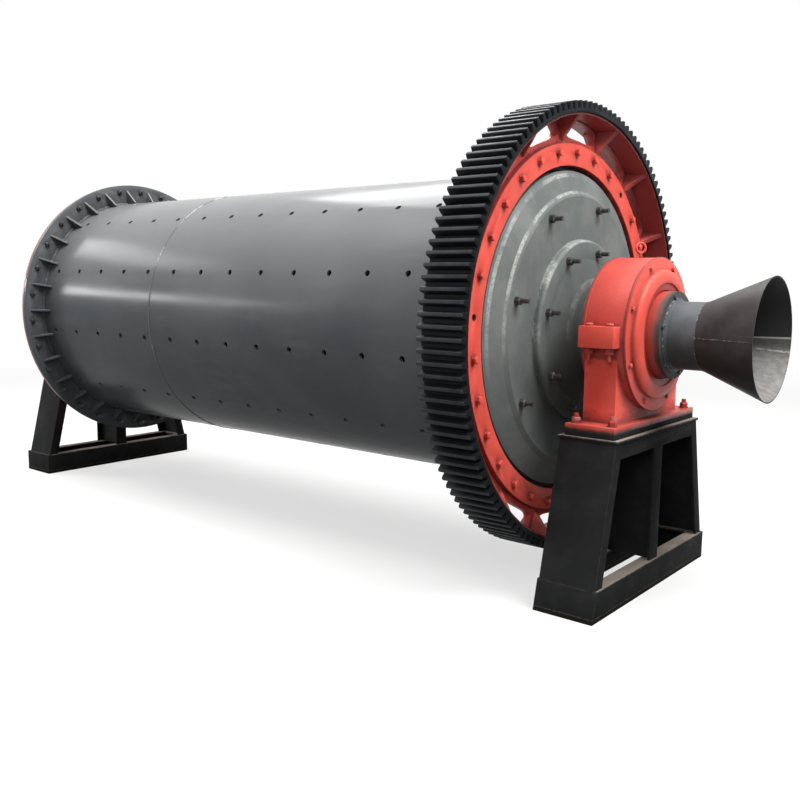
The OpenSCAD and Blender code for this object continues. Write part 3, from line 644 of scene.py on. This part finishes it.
EDGE_ROUNDS = {
    "end_ring": 0.003, "shell_flange": 0.002, "gussets": 0.0015, "hub_plate": 0.004,
    "outer_cover": 0.003, "inner_cover": 0.003, "sole_plate": 0.003,
}
GEAR_ROUNDS = {"gear_spider": 0.004, "gear_rim": 0.0025}
for end in ENDS:
    for piece, width in EDGE_ROUNDS.items():
        rounded(f"{end}_{piece}", width)
for piece, width in GEAR_ROUNDS.items():
    rounded(piece, width)
print("rounded pieces:", 2 * len(EDGE_ROUNDS) + len(GEAR_ROUNDS))

# %% [markdown]
# A pedestal is welded from plates and its seams are painted over, and the two halves of a housing are
# painted as one. So here the pieces are first joined with a Boolean union, which loses the seams
# between faces that lie flush, and then rounded.

# %% Welded and painted as one
def joined_copy(names):
    makers = []
    for name in names:
        mesh = bpy.data.meshes.new("join_" + name)
        shape = merged_copy(name)
        shape.to_mesh(mesh)
        shape.free()
        maker = bpy.data.objects.new("join_" + name, mesh)
        bpy.context.scene.collection.objects.link(maker)
        makers.append(maker)
    for other in makers[1:]:
        union = makers[0].modifiers.new("union", "BOOLEAN")
        union.operation = "UNION"
        union.solver = "EXACT"
        union.object = other
    view = bpy.context.evaluated_depsgraph_get()
    result = bpy.data.meshes.new_from_object(makers[0].evaluated_get(view))
    shape = bmesh.new()
    shape.from_mesh(result)
    bpy.data.meshes.remove(result)
    for maker in makers:
        bpy.data.meshes.remove(maker.data)
    bmesh.ops.remove_doubles(shape, verts=shape.verts, dist=MERGE_GAP)
    return shape


def welded(name, names, width):
    shape = joined_copy(names)
    round_edges(shape, width)
    piece = put_in_place(shape, name, names)
    print(name, "faces:", len(piece.data.polygons))


HOUSING_ROUND = 0.006
PEDESTAL_ROUND = 0.003
PEDESTAL_PLATES = ("base", "legs", "post", "beam")
for end in ENDS:
    welded(f"{end}_housing", [f"{end}_bearing_base", f"{end}_bearing_cap"], HOUSING_ROUND)
    welded(f"{end}_pedestal", [f"{end}_pedestal_{plate}" for plate in PEDESTAL_PLATES], PEDESTAL_ROUND)

# %% [markdown]
# Bolts, nuts and weld beads repeat, so Geometry Nodes make them. A tree can be wired by hand in the
# editor; here this class wires it, one node a call, and grow() turns the tree's result into a plain
# mesh that rides a body of the mill.

# %% Helper for Geometry Nodes
class Recipe:
    KINDS = {float: "Float", int: "Int", tuple: "Vector", type(None): "Material"}

    def __init__(self, name, **sizes):
        self.tree = bpy.data.node_groups.new(name, "GeometryNodeTree")
        for label, start in sizes.items():
            kind = "NodeSocket" + self.KINDS[type(start)]
            socket = self.tree.interface.new_socket(label, in_out="INPUT", socket_type=kind)
            if start is not None:
                socket.default_value = start
        self.tree.interface.new_socket("shape", in_out="OUTPUT", socket_type="NodeSocketGeometry")
        self.given = self.tree.nodes.new("NodeGroupInput").outputs
        self.result = self.tree.nodes.new("NodeGroupOutput").inputs["shape"]

    def add(self, kind, wires=None, **settings):
        node = self.tree.nodes.new(kind)
        for key, value in settings.items():
            setattr(node, key, value)
        sockets = {socket.identifier: socket for socket in node.inputs}
        sockets.update({socket.name: socket for socket in node.inputs if socket.name not in sockets})
        for label, value in (wires or {}).items():
            if isinstance(value, bpy.types.NodeSocket):
                self.tree.links.new(value, sockets[label])
            else:
                sockets[label].default_value = value
        return node

    def sum(self, operation, a, b=0.0):
        return self.add("ShaderNodeMath", {"Value": a, "Value_001": b}, operation=operation).outputs[0]

    def vector(self, x=0.0, y=0.0, z=0.0):
        return self.add("ShaderNodeCombineXYZ", {"X": x, "Y": y, "Z": z}).outputs[0]

    def turned(self, x=0.0, y=0.0, z=0.0):
        return self.add("FunctionNodeEulerToRotation", {"Euler": self.vector(x, y, z)}).outputs[0]

    def moved(self, shape, **wires):
        wires = {key.capitalize(): value for key, value in wires.items()}
        return self.add("GeometryNodeTransform", {"Geometry": shape, **wires}).outputs[0]

    def joined(self, shapes):
        node = self.add("GeometryNodeJoinGeometry")
        for shape in shapes:
            self.tree.links.new(shape, node.inputs[0])
        return node.outputs[0]

    def end(self, shape, smooth):
        whole = self.add("GeometryNodeRealizeInstances", {"Geometry": shape}).outputs[0]
        shaded = self.add("GeometryNodeSetShadeSmooth", {"Geometry": whole, "Shade Smooth": smooth})
        painted = self.add(
            "GeometryNodeSetMaterial", {"Geometry": shaded.outputs[0], "Material": self.given["finish"]}
        )
        self.tree.links.new(painted.outputs[0], self.result)


def grow(name, recipe, body, slot, **sizes):
    piece = bpy.data.objects.new(name, bpy.data.meshes.new(name + "_seed"))
    bpy.context.scene.collection.objects.link(piece)
    step = piece.modifiers.new(recipe.tree.name, "NODES")
    step.node_group = recipe.tree
    for item in recipe.tree.interface.items_tree:
        if item.name in sizes:
            step[item.identifier] = sizes[item.name]
    view = bpy.context.evaluated_depsgraph_get()
    mesh = bpy.data.meshes.new_from_object(piece.evaluated_get(view))
    mesh.name = name
    piece.modifiers.remove(step)
    piece.data = mesh
    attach(piece, body)
    print(name, "faces:", len(mesh.polygons))


# %% [markdown]
# One fastener, standing along Z on its seat: a washer, a six-sided head with its corners chamfered,
# and the end of the stud, which is kept inside the head where a plain bolt is meant. A real thread
# would be lost at this distance, so the stud is smooth.

# %% One fastener
FASTENER_SIZES = dict(
    washer_radius=0.02, washer_height=0.003, head_radius=0.018, head_height=0.015,
    stud_radius=0.008, stud_height=0.01,
)
CROWN_SHARE = 0.22
CROWN_TOP_SHARE = 0.84


def make_fastener():
    r = Recipe("fastener", **FASTENER_SIZES)
    g = r.given

    def standing(sides, bottom_radius, top_radius, height, foot):
        cone = r.add("GeometryNodeMeshCone", {
            "Vertices": sides, "Radius Bottom": bottom_radius, "Radius Top": top_radius, "Depth": height,
        })
        return r.moved(cone.outputs[0], translation=r.vector(0.0, 0.0, foot))

    crown = r.sum("MULTIPLY", g["head_height"], CROWN_SHARE)
    flank = r.sum("SUBTRACT", g["head_height"], crown)
    crown_foot = r.sum("ADD", g["washer_height"], flank)
    crown_top = r.sum("MULTIPLY", g["head_radius"], CROWN_TOP_SHARE)
    shapes = [
        standing(20, g["washer_radius"], g["washer_radius"], g["washer_height"], 0.0),
        standing(6, g["head_radius"], g["head_radius"], flank, g["washer_height"]),
        standing(6, g["head_radius"], crown_top, crown, crown_foot),
        standing(12, g["stud_radius"], g["stud_radius"], g["stud_height"], 0.0),
    ]
    r.tree.links.new(r.joined(shapes), r.result)
    return r


fastener = make_fastener()
print("fastener recipe nodes:", len(fastener.tree.nodes))

# %% [markdown]
# A ring of fasteners around the drum's axis. Each head is left at its own random turn, as a spanner
# leaves it, from a fixed seed. Two places can stay empty, because two bolts of the clamp ring are
# missing on the real mill.

# %% Ring of fasteners
def place_fastener(r):
    node = r.add("GeometryNodeGroup", None, node_tree=fastener.tree)
    for label in FASTENER_SIZES:
        r.tree.links.new(r.given[label], node.inputs[label])
    return node.outputs[0]


def set_out(r, places, turn):
    spin = r.add(
        "FunctionNodeRandomValue", {"Max_001": math.tau, "Seed": r.given["seed"]}, data_type="FLOAT"
    )
    heads = r.add(
        "GeometryNodeInstanceOnPoints", {"Points": places, "Instance": place_fastener(r), "Rotation": turn}
    )
    return r.add("GeometryNodeRotateInstances", {
        "Instances": heads.outputs[0], "Rotation": r.turned(z=spin.outputs[1]),
    }).outputs[0]


def make_fastener_ring():
    r = Recipe(
        "fastener_ring", count=8, circle_radius=1.0, first_angle=0.0, station=0.0, facing=1.0,
        missing=-1, also_missing=-1, seed=1, finish=None, **FASTENER_SIZES,
    )
    g = r.given
    circle = r.add("GeometryNodeMeshCircle", {"Vertices": g["count"], "Radius": g["circle_radius"]})
    index = r.add("GeometryNodeInputIndex").outputs[0]
    empty = [
        r.add("FunctionNodeCompare", {"A_INT": index, "B_INT": g[label]}, data_type="INT", operation="EQUAL")
        for label in ("missing", "also_missing")
    ]
    either = r.add(
        "FunctionNodeBooleanMath",
        {"Boolean": empty[0].outputs[0], "Boolean_001": empty[1].outputs[0]}, operation="OR",
    )
    places = r.add(
        "GeometryNodeDeleteGeometry", {"Geometry": circle.outputs[0], "Selection": either.outputs[0]}
    ).outputs[0]
    places = r.moved(places, rotation=r.turned(z=g["first_angle"]))
    upright = r.turned(math.pi / 2, 0.0, math.pi / 2)
    places = r.moved(places, rotation=upright, translation=r.vector(g["station"], 0.0, axis_height))
    outward = r.turned(y=r.sum("MULTIPLY", g["facing"], math.pi / 2))
    r.end(set_out(r, places, outward), False)
    return r


fastener_ring = make_fastener_ring()
print("ring recipe nodes:", len(fastener_ring.tree.nodes))

# %% [markdown]
# Four fasteners on the corners of an oblong, pointing up or down: the lug bolts of a split housing
# and the bolts that hold it down.

# %% Four fasteners on an oblong
def make_fastener_four():
    r = Recipe(
        "fastener_four", middle=(0.0, 0.0, 0.0), gap_x=0.1, gap_y=0.1, facing=1.0, seed=1, finish=None,
        **FASTENER_SIZES,
    )
    g = r.given
    grid = r.add("GeometryNodeMeshGrid", {
        "Size X": g["gap_x"], "Size Y": g["gap_y"], "Vertices X": 2, "Vertices Y": 2,
    })
    places = r.moved(grid.outputs[0], translation=g["middle"])
    over = r.sum("MULTIPLY", r.sum("SUBTRACT", 1.0, g["facing"]), math.pi / 2)
    r.end(set_out(r, places, r.turned(x=over)), False)
    return r


fastener_four = make_fastener_four()
print("oblong recipe nodes:", len(fastener_four.tree.nodes))

# %% [markdown]
# Now the fasteners go on. The clamp rings have red bolts through to nuts on the flanges' other faces;
# the end covers are held by long studs with black nuts. Both ends are alike, so one loop does both,
# with the side that faces outward as its sign.

# %% Bolts of the drum
OUTWARD = {"feed": -1.0, "discharge": 1.0}
STUDS = 8
FIRST_STUD = math.radians(30.5)
STUD_CIRCLES = {"cover_disc": 0.722, "hub_plate": 0.459}
COLLAR_BOLTS = 6
FIRST_COLLAR_BOLT = math.radians(45)
COLLAR_CIRCLE = 0.212
BIG_HEAD = dict(
    washer_radius=0.021, washer_height=0.003, head_radius=0.02, head_height=0.024,
    stud_radius=0.01, stud_height=0.012,
)
BIG_NUT = dict(
    washer_radius=0.022, washer_height=0.004, head_radius=0.022, head_height=0.022,
    stud_radius=0.013, stud_height=0.05,
)
STUD_NUT = dict(
    washer_radius=0.024, washer_height=0.004, head_radius=0.022, head_height=0.026,
    stud_radius=0.0125, stud_height=0.075,
)
COLLAR_HEAD = dict(
    washer_radius=0.012, washer_height=0.002, head_radius=0.011, head_height=0.01,
    stud_radius=0.005, stud_height=0.008,
)


def outer_face(name, sign):
    return faces_of(name)[1 if sign > 0 else 0]


for end, sign in OUTWARD.items():
    empty, also_empty = EMPTY_HOLES[end]
    ring = dict(
        count=RING_BOLTS, circle_radius=flange_circle, first_angle=FIRST_BOLT[end], missing=empty,
        also_missing=also_empty,
    )
    grow(
        f"{end}_ring_bolts", fastener_ring, "drum", "machine_red", **ring, facing=sign,
        station=outer_face(f"{end}_end_ring", sign), finish=red_enamel, **BIG_HEAD,
    )
    grow(
        f"{end}_flange_nuts", fastener_ring, "drum", "shell_grey", **ring, facing=-sign, seed=2,
        station=outer_face(f"{end}_shell_flange", -sign), finish=dark_steel, **BIG_NUT,
    )
    for piece, circle in STUD_CIRCLES.items():
        grow(
            f"{end}_{piece}_studs", fastener_ring, "drum", "gear_black", count=STUDS, circle_radius=circle,
            first_angle=FIRST_STUD, station=outer_face(f"{end}_{piece}", sign), facing=sign,
            seed=3, finish=dark_steel, **STUD_NUT,
        )
    grow(
        f"{end}_collar_bolts", fastener_ring, "drum", "spout_grey", count=COLLAR_BOLTS,
        circle_radius=COLLAR_CIRCLE, first_angle=FIRST_COLLAR_BOLT, facing=sign, seed=4,
        station=outer_face(f"{end}_collar", sign), finish=dark_steel, **COLLAR_HEAD,
    )

# %% [markdown]
# The bearing housings: small bolts around each end cover, bolts through the split lugs and nuts on
# the studs that hold the foot down.

# %% Bolts of the housings
COVER_HEAD = dict(
    washer_radius=0.016, washer_height=0.002, head_radius=0.014, head_height=0.012,
    stud_radius=0.006, stud_height=0.01,
)
LUG_HEAD = dict(
    washer_radius=0.022, washer_height=0.003, head_radius=0.021, head_height=0.012,
    stud_radius=0.01, stud_height=0.01,
)
LUG_NUT = dict(
    washer_radius=0.027, washer_height=0.005, head_radius=0.025, head_height=0.03,
    stud_radius=0.0125, stud_height=0.072,
)
FOOT_NUT = dict(
    washer_radius=0.027, washer_height=0.004, head_radius=0.024, head_height=0.028,
    stud_radius=0.0135, stud_height=0.052,
)
COVER_BOLTS = 8
COVER_CIRCLE = 0.386
FIRST_COVER_BOLT = math.radians(22.5)
COVER_STEP = 0.041
LUG_HALF_HEIGHT = 0.056
LUG_GAPS = dict(gap_x=0.116, gap_y=0.923)
FOOT_GAPS = dict(gap_x=0.21, gap_y=0.96)

for end, sign in OUTWARD.items():
    station = bearing_stations[end]
    for piece, side in (("outer_cover", sign), ("inner_cover", -sign)):
        grow(
            f"{end}_{piece}_bolts", fastener_ring, "stand", "machine_red", count=COVER_BOLTS,
            circle_radius=COVER_CIRCLE, first_angle=FIRST_COVER_BOLT, facing=side, seed=5,
            station=outer_face(f"{end}_{piece}", side) - side * COVER_STEP, finish=red_enamel, **COVER_HEAD,
        )
    for label, side, finish, sizes in (
        ("lug_bolts", 1.0, red_enamel, LUG_HEAD), ("lug_nuts", -1.0, darker_enamel, LUG_NUT),
    ):
        grow(
            f"{end}_{label}", fastener_four, "stand", "machine_red", facing=side, seed=6, finish=finish,
            middle=(station, 0.0, axis_height + side * LUG_HALF_HEIGHT), **LUG_GAPS, **sizes,
        )
    foot_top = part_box(f"{end}_sole_plate")[1].z + FOOT_THICKNESS
    grow(
        f"{end}_foot_nuts", fastener_four, "stand", "machine_red", middle=(station, 0.0, foot_top),
        facing=1.0, seed=7, finish=darker_enamel, **FOOT_GAPS, **FOOT_NUT,
    )

# %% [markdown]
# A weld bead is laid by hand: it wanders a little and swells and thins. A curve follows the joint,
# noise moves its points and scales the round profile swept along it.

# %% Weld bead recipes
RIPPLES = 32.0
THINNEST = 0.55
THICKEST = 1.4
BEAD_SIDES = 7
RING_POINTS = 540
LINE_POINTS = 90


def bead_along(r, path):
    g = r.given
    ripple = r.add(
        "ShaderNodeTexNoise", {"Scale": RIPPLES, "Detail": 3.0, "W": g["seed"]}, noise_dimensions="4D"
    )
    swing = r.add(
        "ShaderNodeVectorMath", {"Vector": ripple.outputs["Color"], "Vector_001": (0.5, 0.5, 0.5)},
        operation="SUBTRACT",
    )
    shift = r.add(
        "ShaderNodeVectorMath", {"Vector": swing.outputs[0], "Scale": g["wander"]}, operation="SCALE"
    )
    path = r.add("GeometryNodeSetPosition", {"Geometry": path, "Offset": shift.outputs[0]}).outputs[0]
    swell = r.add("ShaderNodeMapRange", {
        "Value": ripple.outputs["Fac"], "From Min": 0.3, "From Max": 0.7,
        "To Min": THINNEST, "To Max": THICKEST,
    }).outputs[0]
    section = {"Resolution": BEAD_SIDES, "Radius": g["bead_radius"]}
    profile = r.add("GeometryNodeCurvePrimitiveCircle", section)
    return r.add("GeometryNodeCurveToMesh", {
        "Curve": path, "Profile Curve": profile.outputs[0], "Scale": swell, "Fill Caps": True,
    }).outputs[0]


def make_weld_ring():
    r = Recipe(
        "weld_ring", radius=1.0, station=0.0, bead_radius=0.006, wander=0.006, seed=1.0, finish=None
    )
    circle = {"Resolution": RING_POINTS, "Radius": r.given["radius"]}
    path = r.add("GeometryNodeCurvePrimitiveCircle", circle)
    bead = bead_along(r, path.outputs[0])
    upright = r.turned(math.pi / 2, 0.0, math.pi / 2)
    middle = r.vector(r.given["station"], 0.0, axis_height)
    r.end(r.moved(bead, rotation=upright, translation=middle), True)
    return r


def make_weld_line():
    r = Recipe(
        "weld_line", start=(0.0, 0.0, 0.0), finish_at=(1.0, 0.0, 0.0), bead_radius=0.004, wander=0.004,
        seed=1.0, finish=None,
    )
    ends = {"Start": r.given["start"], "End": r.given["finish_at"]}
    line = r.add("GeometryNodeCurvePrimitiveLine", ends)
    path = r.add("GeometryNodeResampleCurve", {"Curve": line.outputs[0], "Count": LINE_POINTS})
    r.end(bead_along(r, path.outputs[0]), True)
    return r


weld_ring = make_weld_ring()
weld_line = make_weld_line()
print("weld recipes:", weld_ring.tree.name, weld_line.tree.name)

# %% [markdown]
# The beads of the drum: the shell's seam, the fillets around the hub plates and at the roots of the
# flanges, and the joints of the spout with the long seam of its rolled sheet. A fillet's centre is
# sunk into its corner, so that it meets both plates at a slant.

# %% Weld beads
SEAM_BEAD = dict(bead_radius=0.005, wander=0.006)
SEAM_SUNK = 0.001
HUB_BEAD = dict(bead_radius=0.017, wander=0.003)
HUB_BEAD_SUNK = 0.009
FLANGE_BEAD = dict(bead_radius=0.011, wander=0.005)
FLANGE_BEAD_LIFT = 0.002
TUBE_BEAD = dict(bead_radius=0.004, wander=0.006)
HORN_BEAD = dict(bead_radius=0.0025, wander=0.004)
HORN_SEAM = dict(bead_radius=0.0018, wander=0.003)
TUBE_RADIUS = 0.184
TUBE_FLARE = 0.014

grow(
    "shell_seam", weld_ring, "drum", "shell_grey", radius=shell_radius - SEAM_SUNK, station=seam_station,
    seed=1.0, finish=weld_paint, **SEAM_BEAD,
)
for end, sign in OUTWARD.items():
    grow(
        f"{end}_hub_bead", weld_ring, "drum", "cover_grey", seed=7.0 + sign, finish=cover_paint,
        radius=radius_of(f"{end}_hub_plate") - HUB_BEAD_SUNK,
        station=outer_face(f"{end}_cover_disc", sign) - sign * HUB_BEAD_SUNK, **HUB_BEAD,
    )
    grow(
        f"{end}_flange_bead", weld_ring, "drum", "shell_grey", seed=9.0 + sign, finish=shell_paint,
        radius=shell_radius + FLANGE_BEAD_LIFT, station=outer_face(f"{end}_shell_flange", -sign),
        **FLANGE_BEAD,
    )
grow(
    "tube_bead", weld_ring, "drum", "spout_grey", radius=TUBE_RADIUS + TUBE_FLARE, seed=5.0,
    station=outer_face("discharge_collar", 1.0) + TUBE_BEAD["bead_radius"], finish=seam_paint, **TUBE_BEAD,
)
horn_start, horn_mouth = faces_of("discharge_horn")
grow(
    "horn_bead", weld_ring, "drum", "spout_grey", radius=TUBE_RADIUS, station=horn_start, seed=6.0,
    finish=seam_paint, **HORN_BEAD,
)
grow(
    "horn_seam", weld_line, "drum", "spout_grey", start=(horn_start, -TUBE_RADIUS, axis_height),
    finish_at=(horn_mouth, -radius_of("discharge_horn"), axis_height), seed=7.0, finish=seam_paint,
    **HORN_SEAM,
)

# %% [markdown]
# The mill stands on a plain pale floor that keeps its shadow. The camera and mirror-like reflections
# see the sky as plain white, and the floor as nearly white: it partly glows, wholly so farther off, and
# so melts into the background. All other rays see a darker floor, which throws little light back up.

# %% Floor
FLOOR_SIZE = 120.0
GLOW_NEAR, GLOW_FAR = 5.0, 14.0
GLOW_SHARE = 0.6
floor_mesh = bpy.data.meshes.new("floor")
half = FLOOR_SIZE / 2
floor_mesh.from_pydata(
    [(-half, -half, 0), (half, -half, 0), (half, half, 0), (-half, half, 0)], [], [(0, 1, 2, 3)]
)
floor = bpy.data.objects.new("floor", floor_mesh)
bpy.context.scene.collection.objects.link(floor)


def white_seen(tree):
    path = tree.nodes.new("ShaderNodeLightPath")
    seen = path.outputs["Is Camera Ray"]
    for kind in ("Is Glossy Ray", "Is Transmission Ray"):
        either = tree.nodes.new("ShaderNodeMath")
        either.operation = "MAXIMUM"
        tree.links.new(seen, either.inputs[0])
        tree.links.new(path.outputs[kind], either.inputs[1])
        seen = either.outputs["Value"]
    return seen


def make_floor_finish():
    f = Finish("pale_floor")
    seen = white_seen(f.tree)
    diffuse = f.add("ShaderNodeBsdfDiffuse")
    f.feed(diffuse.inputs["Color"], f.mix(seen, grey(0.1, 0.02), grey(0.8, 0.01)))
    glow = f.add("ShaderNodeEmission")
    glow.inputs["Color"].default_value = grey(1.0)
    share = f.add("ShaderNodeMixShader")
    distance = f.add("ShaderNodeVectorMath", operation="LENGTH")
    f.feed(distance.inputs[0], f.place)
    fade = f.ramp(distance.outputs["Value"], GLOW_NEAR, GLOW_FAR, GLOW_SHARE, 1.0)
    f.feed(share.inputs["Fac"], f.sum("MULTIPLY", seen, fade))
    f.tree.links.new(diffuse.outputs["BSDF"], share.inputs[1])
    f.tree.links.new(glow.outputs["Emission"], share.inputs[2])
    output = f.add("ShaderNodeOutputMaterial")
    f.tree.links.new(share.outputs["Shader"], output.inputs["Surface"])
    return f.material


floor_mesh.materials.append(make_floor_finish())
print("floor size", FLOOR_SIZE)

# %% [markdown]
# The sky is brighter overhead than at the horizon, as on an overcast day. A picture of a real sky would
# light the mill too, but a plain gradient needs no file and has no hard spots.

# %% Sky
HORIZON_STRENGTH = 0.06
OVERHEAD_STRENGTH = 0.7

world = bpy.data.worlds.new("overcast")
world.use_nodes = True
sky = world.node_tree
sky.nodes.clear()
direction = sky.nodes.new("ShaderNodeTexCoord")
split = sky.nodes.new("ShaderNodeSeparateXYZ")
height = sky.nodes.new("ShaderNodeMapRange")
height.inputs["From Min"].default_value = 0.0
height.inputs["From Max"].default_value = 0.9
height.inputs["To Min"].default_value = HORIZON_STRENGTH
height.inputs["To Max"].default_value = OVERHEAD_STRENGTH
sky.links.new(direction.outputs["Generated"], split.inputs[0])
sky.links.new(split.outputs["Z"], height.inputs["Value"])
strength = sky.nodes.new("ShaderNodeMix")
sky.links.new(white_seen(sky), strength.inputs["Factor"])
sky.links.new(height.outputs["Result"], strength.inputs[2])
strength.inputs[3].default_value = 1.0
background = sky.nodes.new("ShaderNodeBackground")
background.inputs["Color"].default_value = grey(1.0)
sky.links.new(strength.outputs[0], background.inputs["Strength"])
world_output = sky.nodes.new("ShaderNodeOutputWorld")
sky.links.new(background.outputs["Background"], world_output.inputs["Surface"])
bpy.context.scene.world = world
print("sky from", HORIZON_STRENGTH, "to", OVERHEAD_STRENGTH)

# %% [markdown]
# Large soft lamps light the mill. The key stands before the discharge end, so that faces looking that
# way are the lit ones. Two long narrow lamps stand far off past the feed end, where the glossy shell
# mirrors them as the two bright bands along its flank.

# %% Lamps
def soft_lamp(name, place, target, width, height, power):
    data = bpy.data.lights.new(name, "AREA")
    data.shape = "RECTANGLE"
    data.size = width
    data.size_y = height
    data.energy = power
    lamp = bpy.data.objects.new(name, data)
    bpy.context.scene.collection.objects.link(lamp)
    lamp.location = place
    lamp.rotation_euler = (Vector(target) - Vector(place)).to_track_quat("-Z", "Y").to_euler()


# Each row: place, target, width, height and power
LAMPS = {
    "key_lamp": ((5.4, 0.0, 6.6), (1.9, 0.0, 1.4), 4.0, 4.0, 650.0),
    "top_lamp": ((-0.5, -2.0, 7.5), (-0.5, 0.0, 1.5), 6.0, 3.0, 450.0),
    "rim_lamp": ((-1.8, 2.8, 6.8), (0.6, 0.0, 2.2), 4.2, 3.5, 520.0),
    "side_lamp": ((-8.0, -5.0, 2.9), (-1.5, -0.9, 1.6), 5.0, 0.5, 380.0),
    "sheen_lamp": ((-8.1, -2.9, 5.75), (-1.4, -0.8, 1.9), 3.4, 1.0, 170.0),
    "front_lamp": ((4.2, -5.5, 3.2), (2.4, -0.5, 1.2), 2.0, 2.0, 80.0),
}
for lamp_name, settings in LAMPS.items():
    soft_lamp(lamp_name, *settings)
bpy.context.scene.view_settings.view_transform = "Standard"
print("lamps:", len(LAMPS))
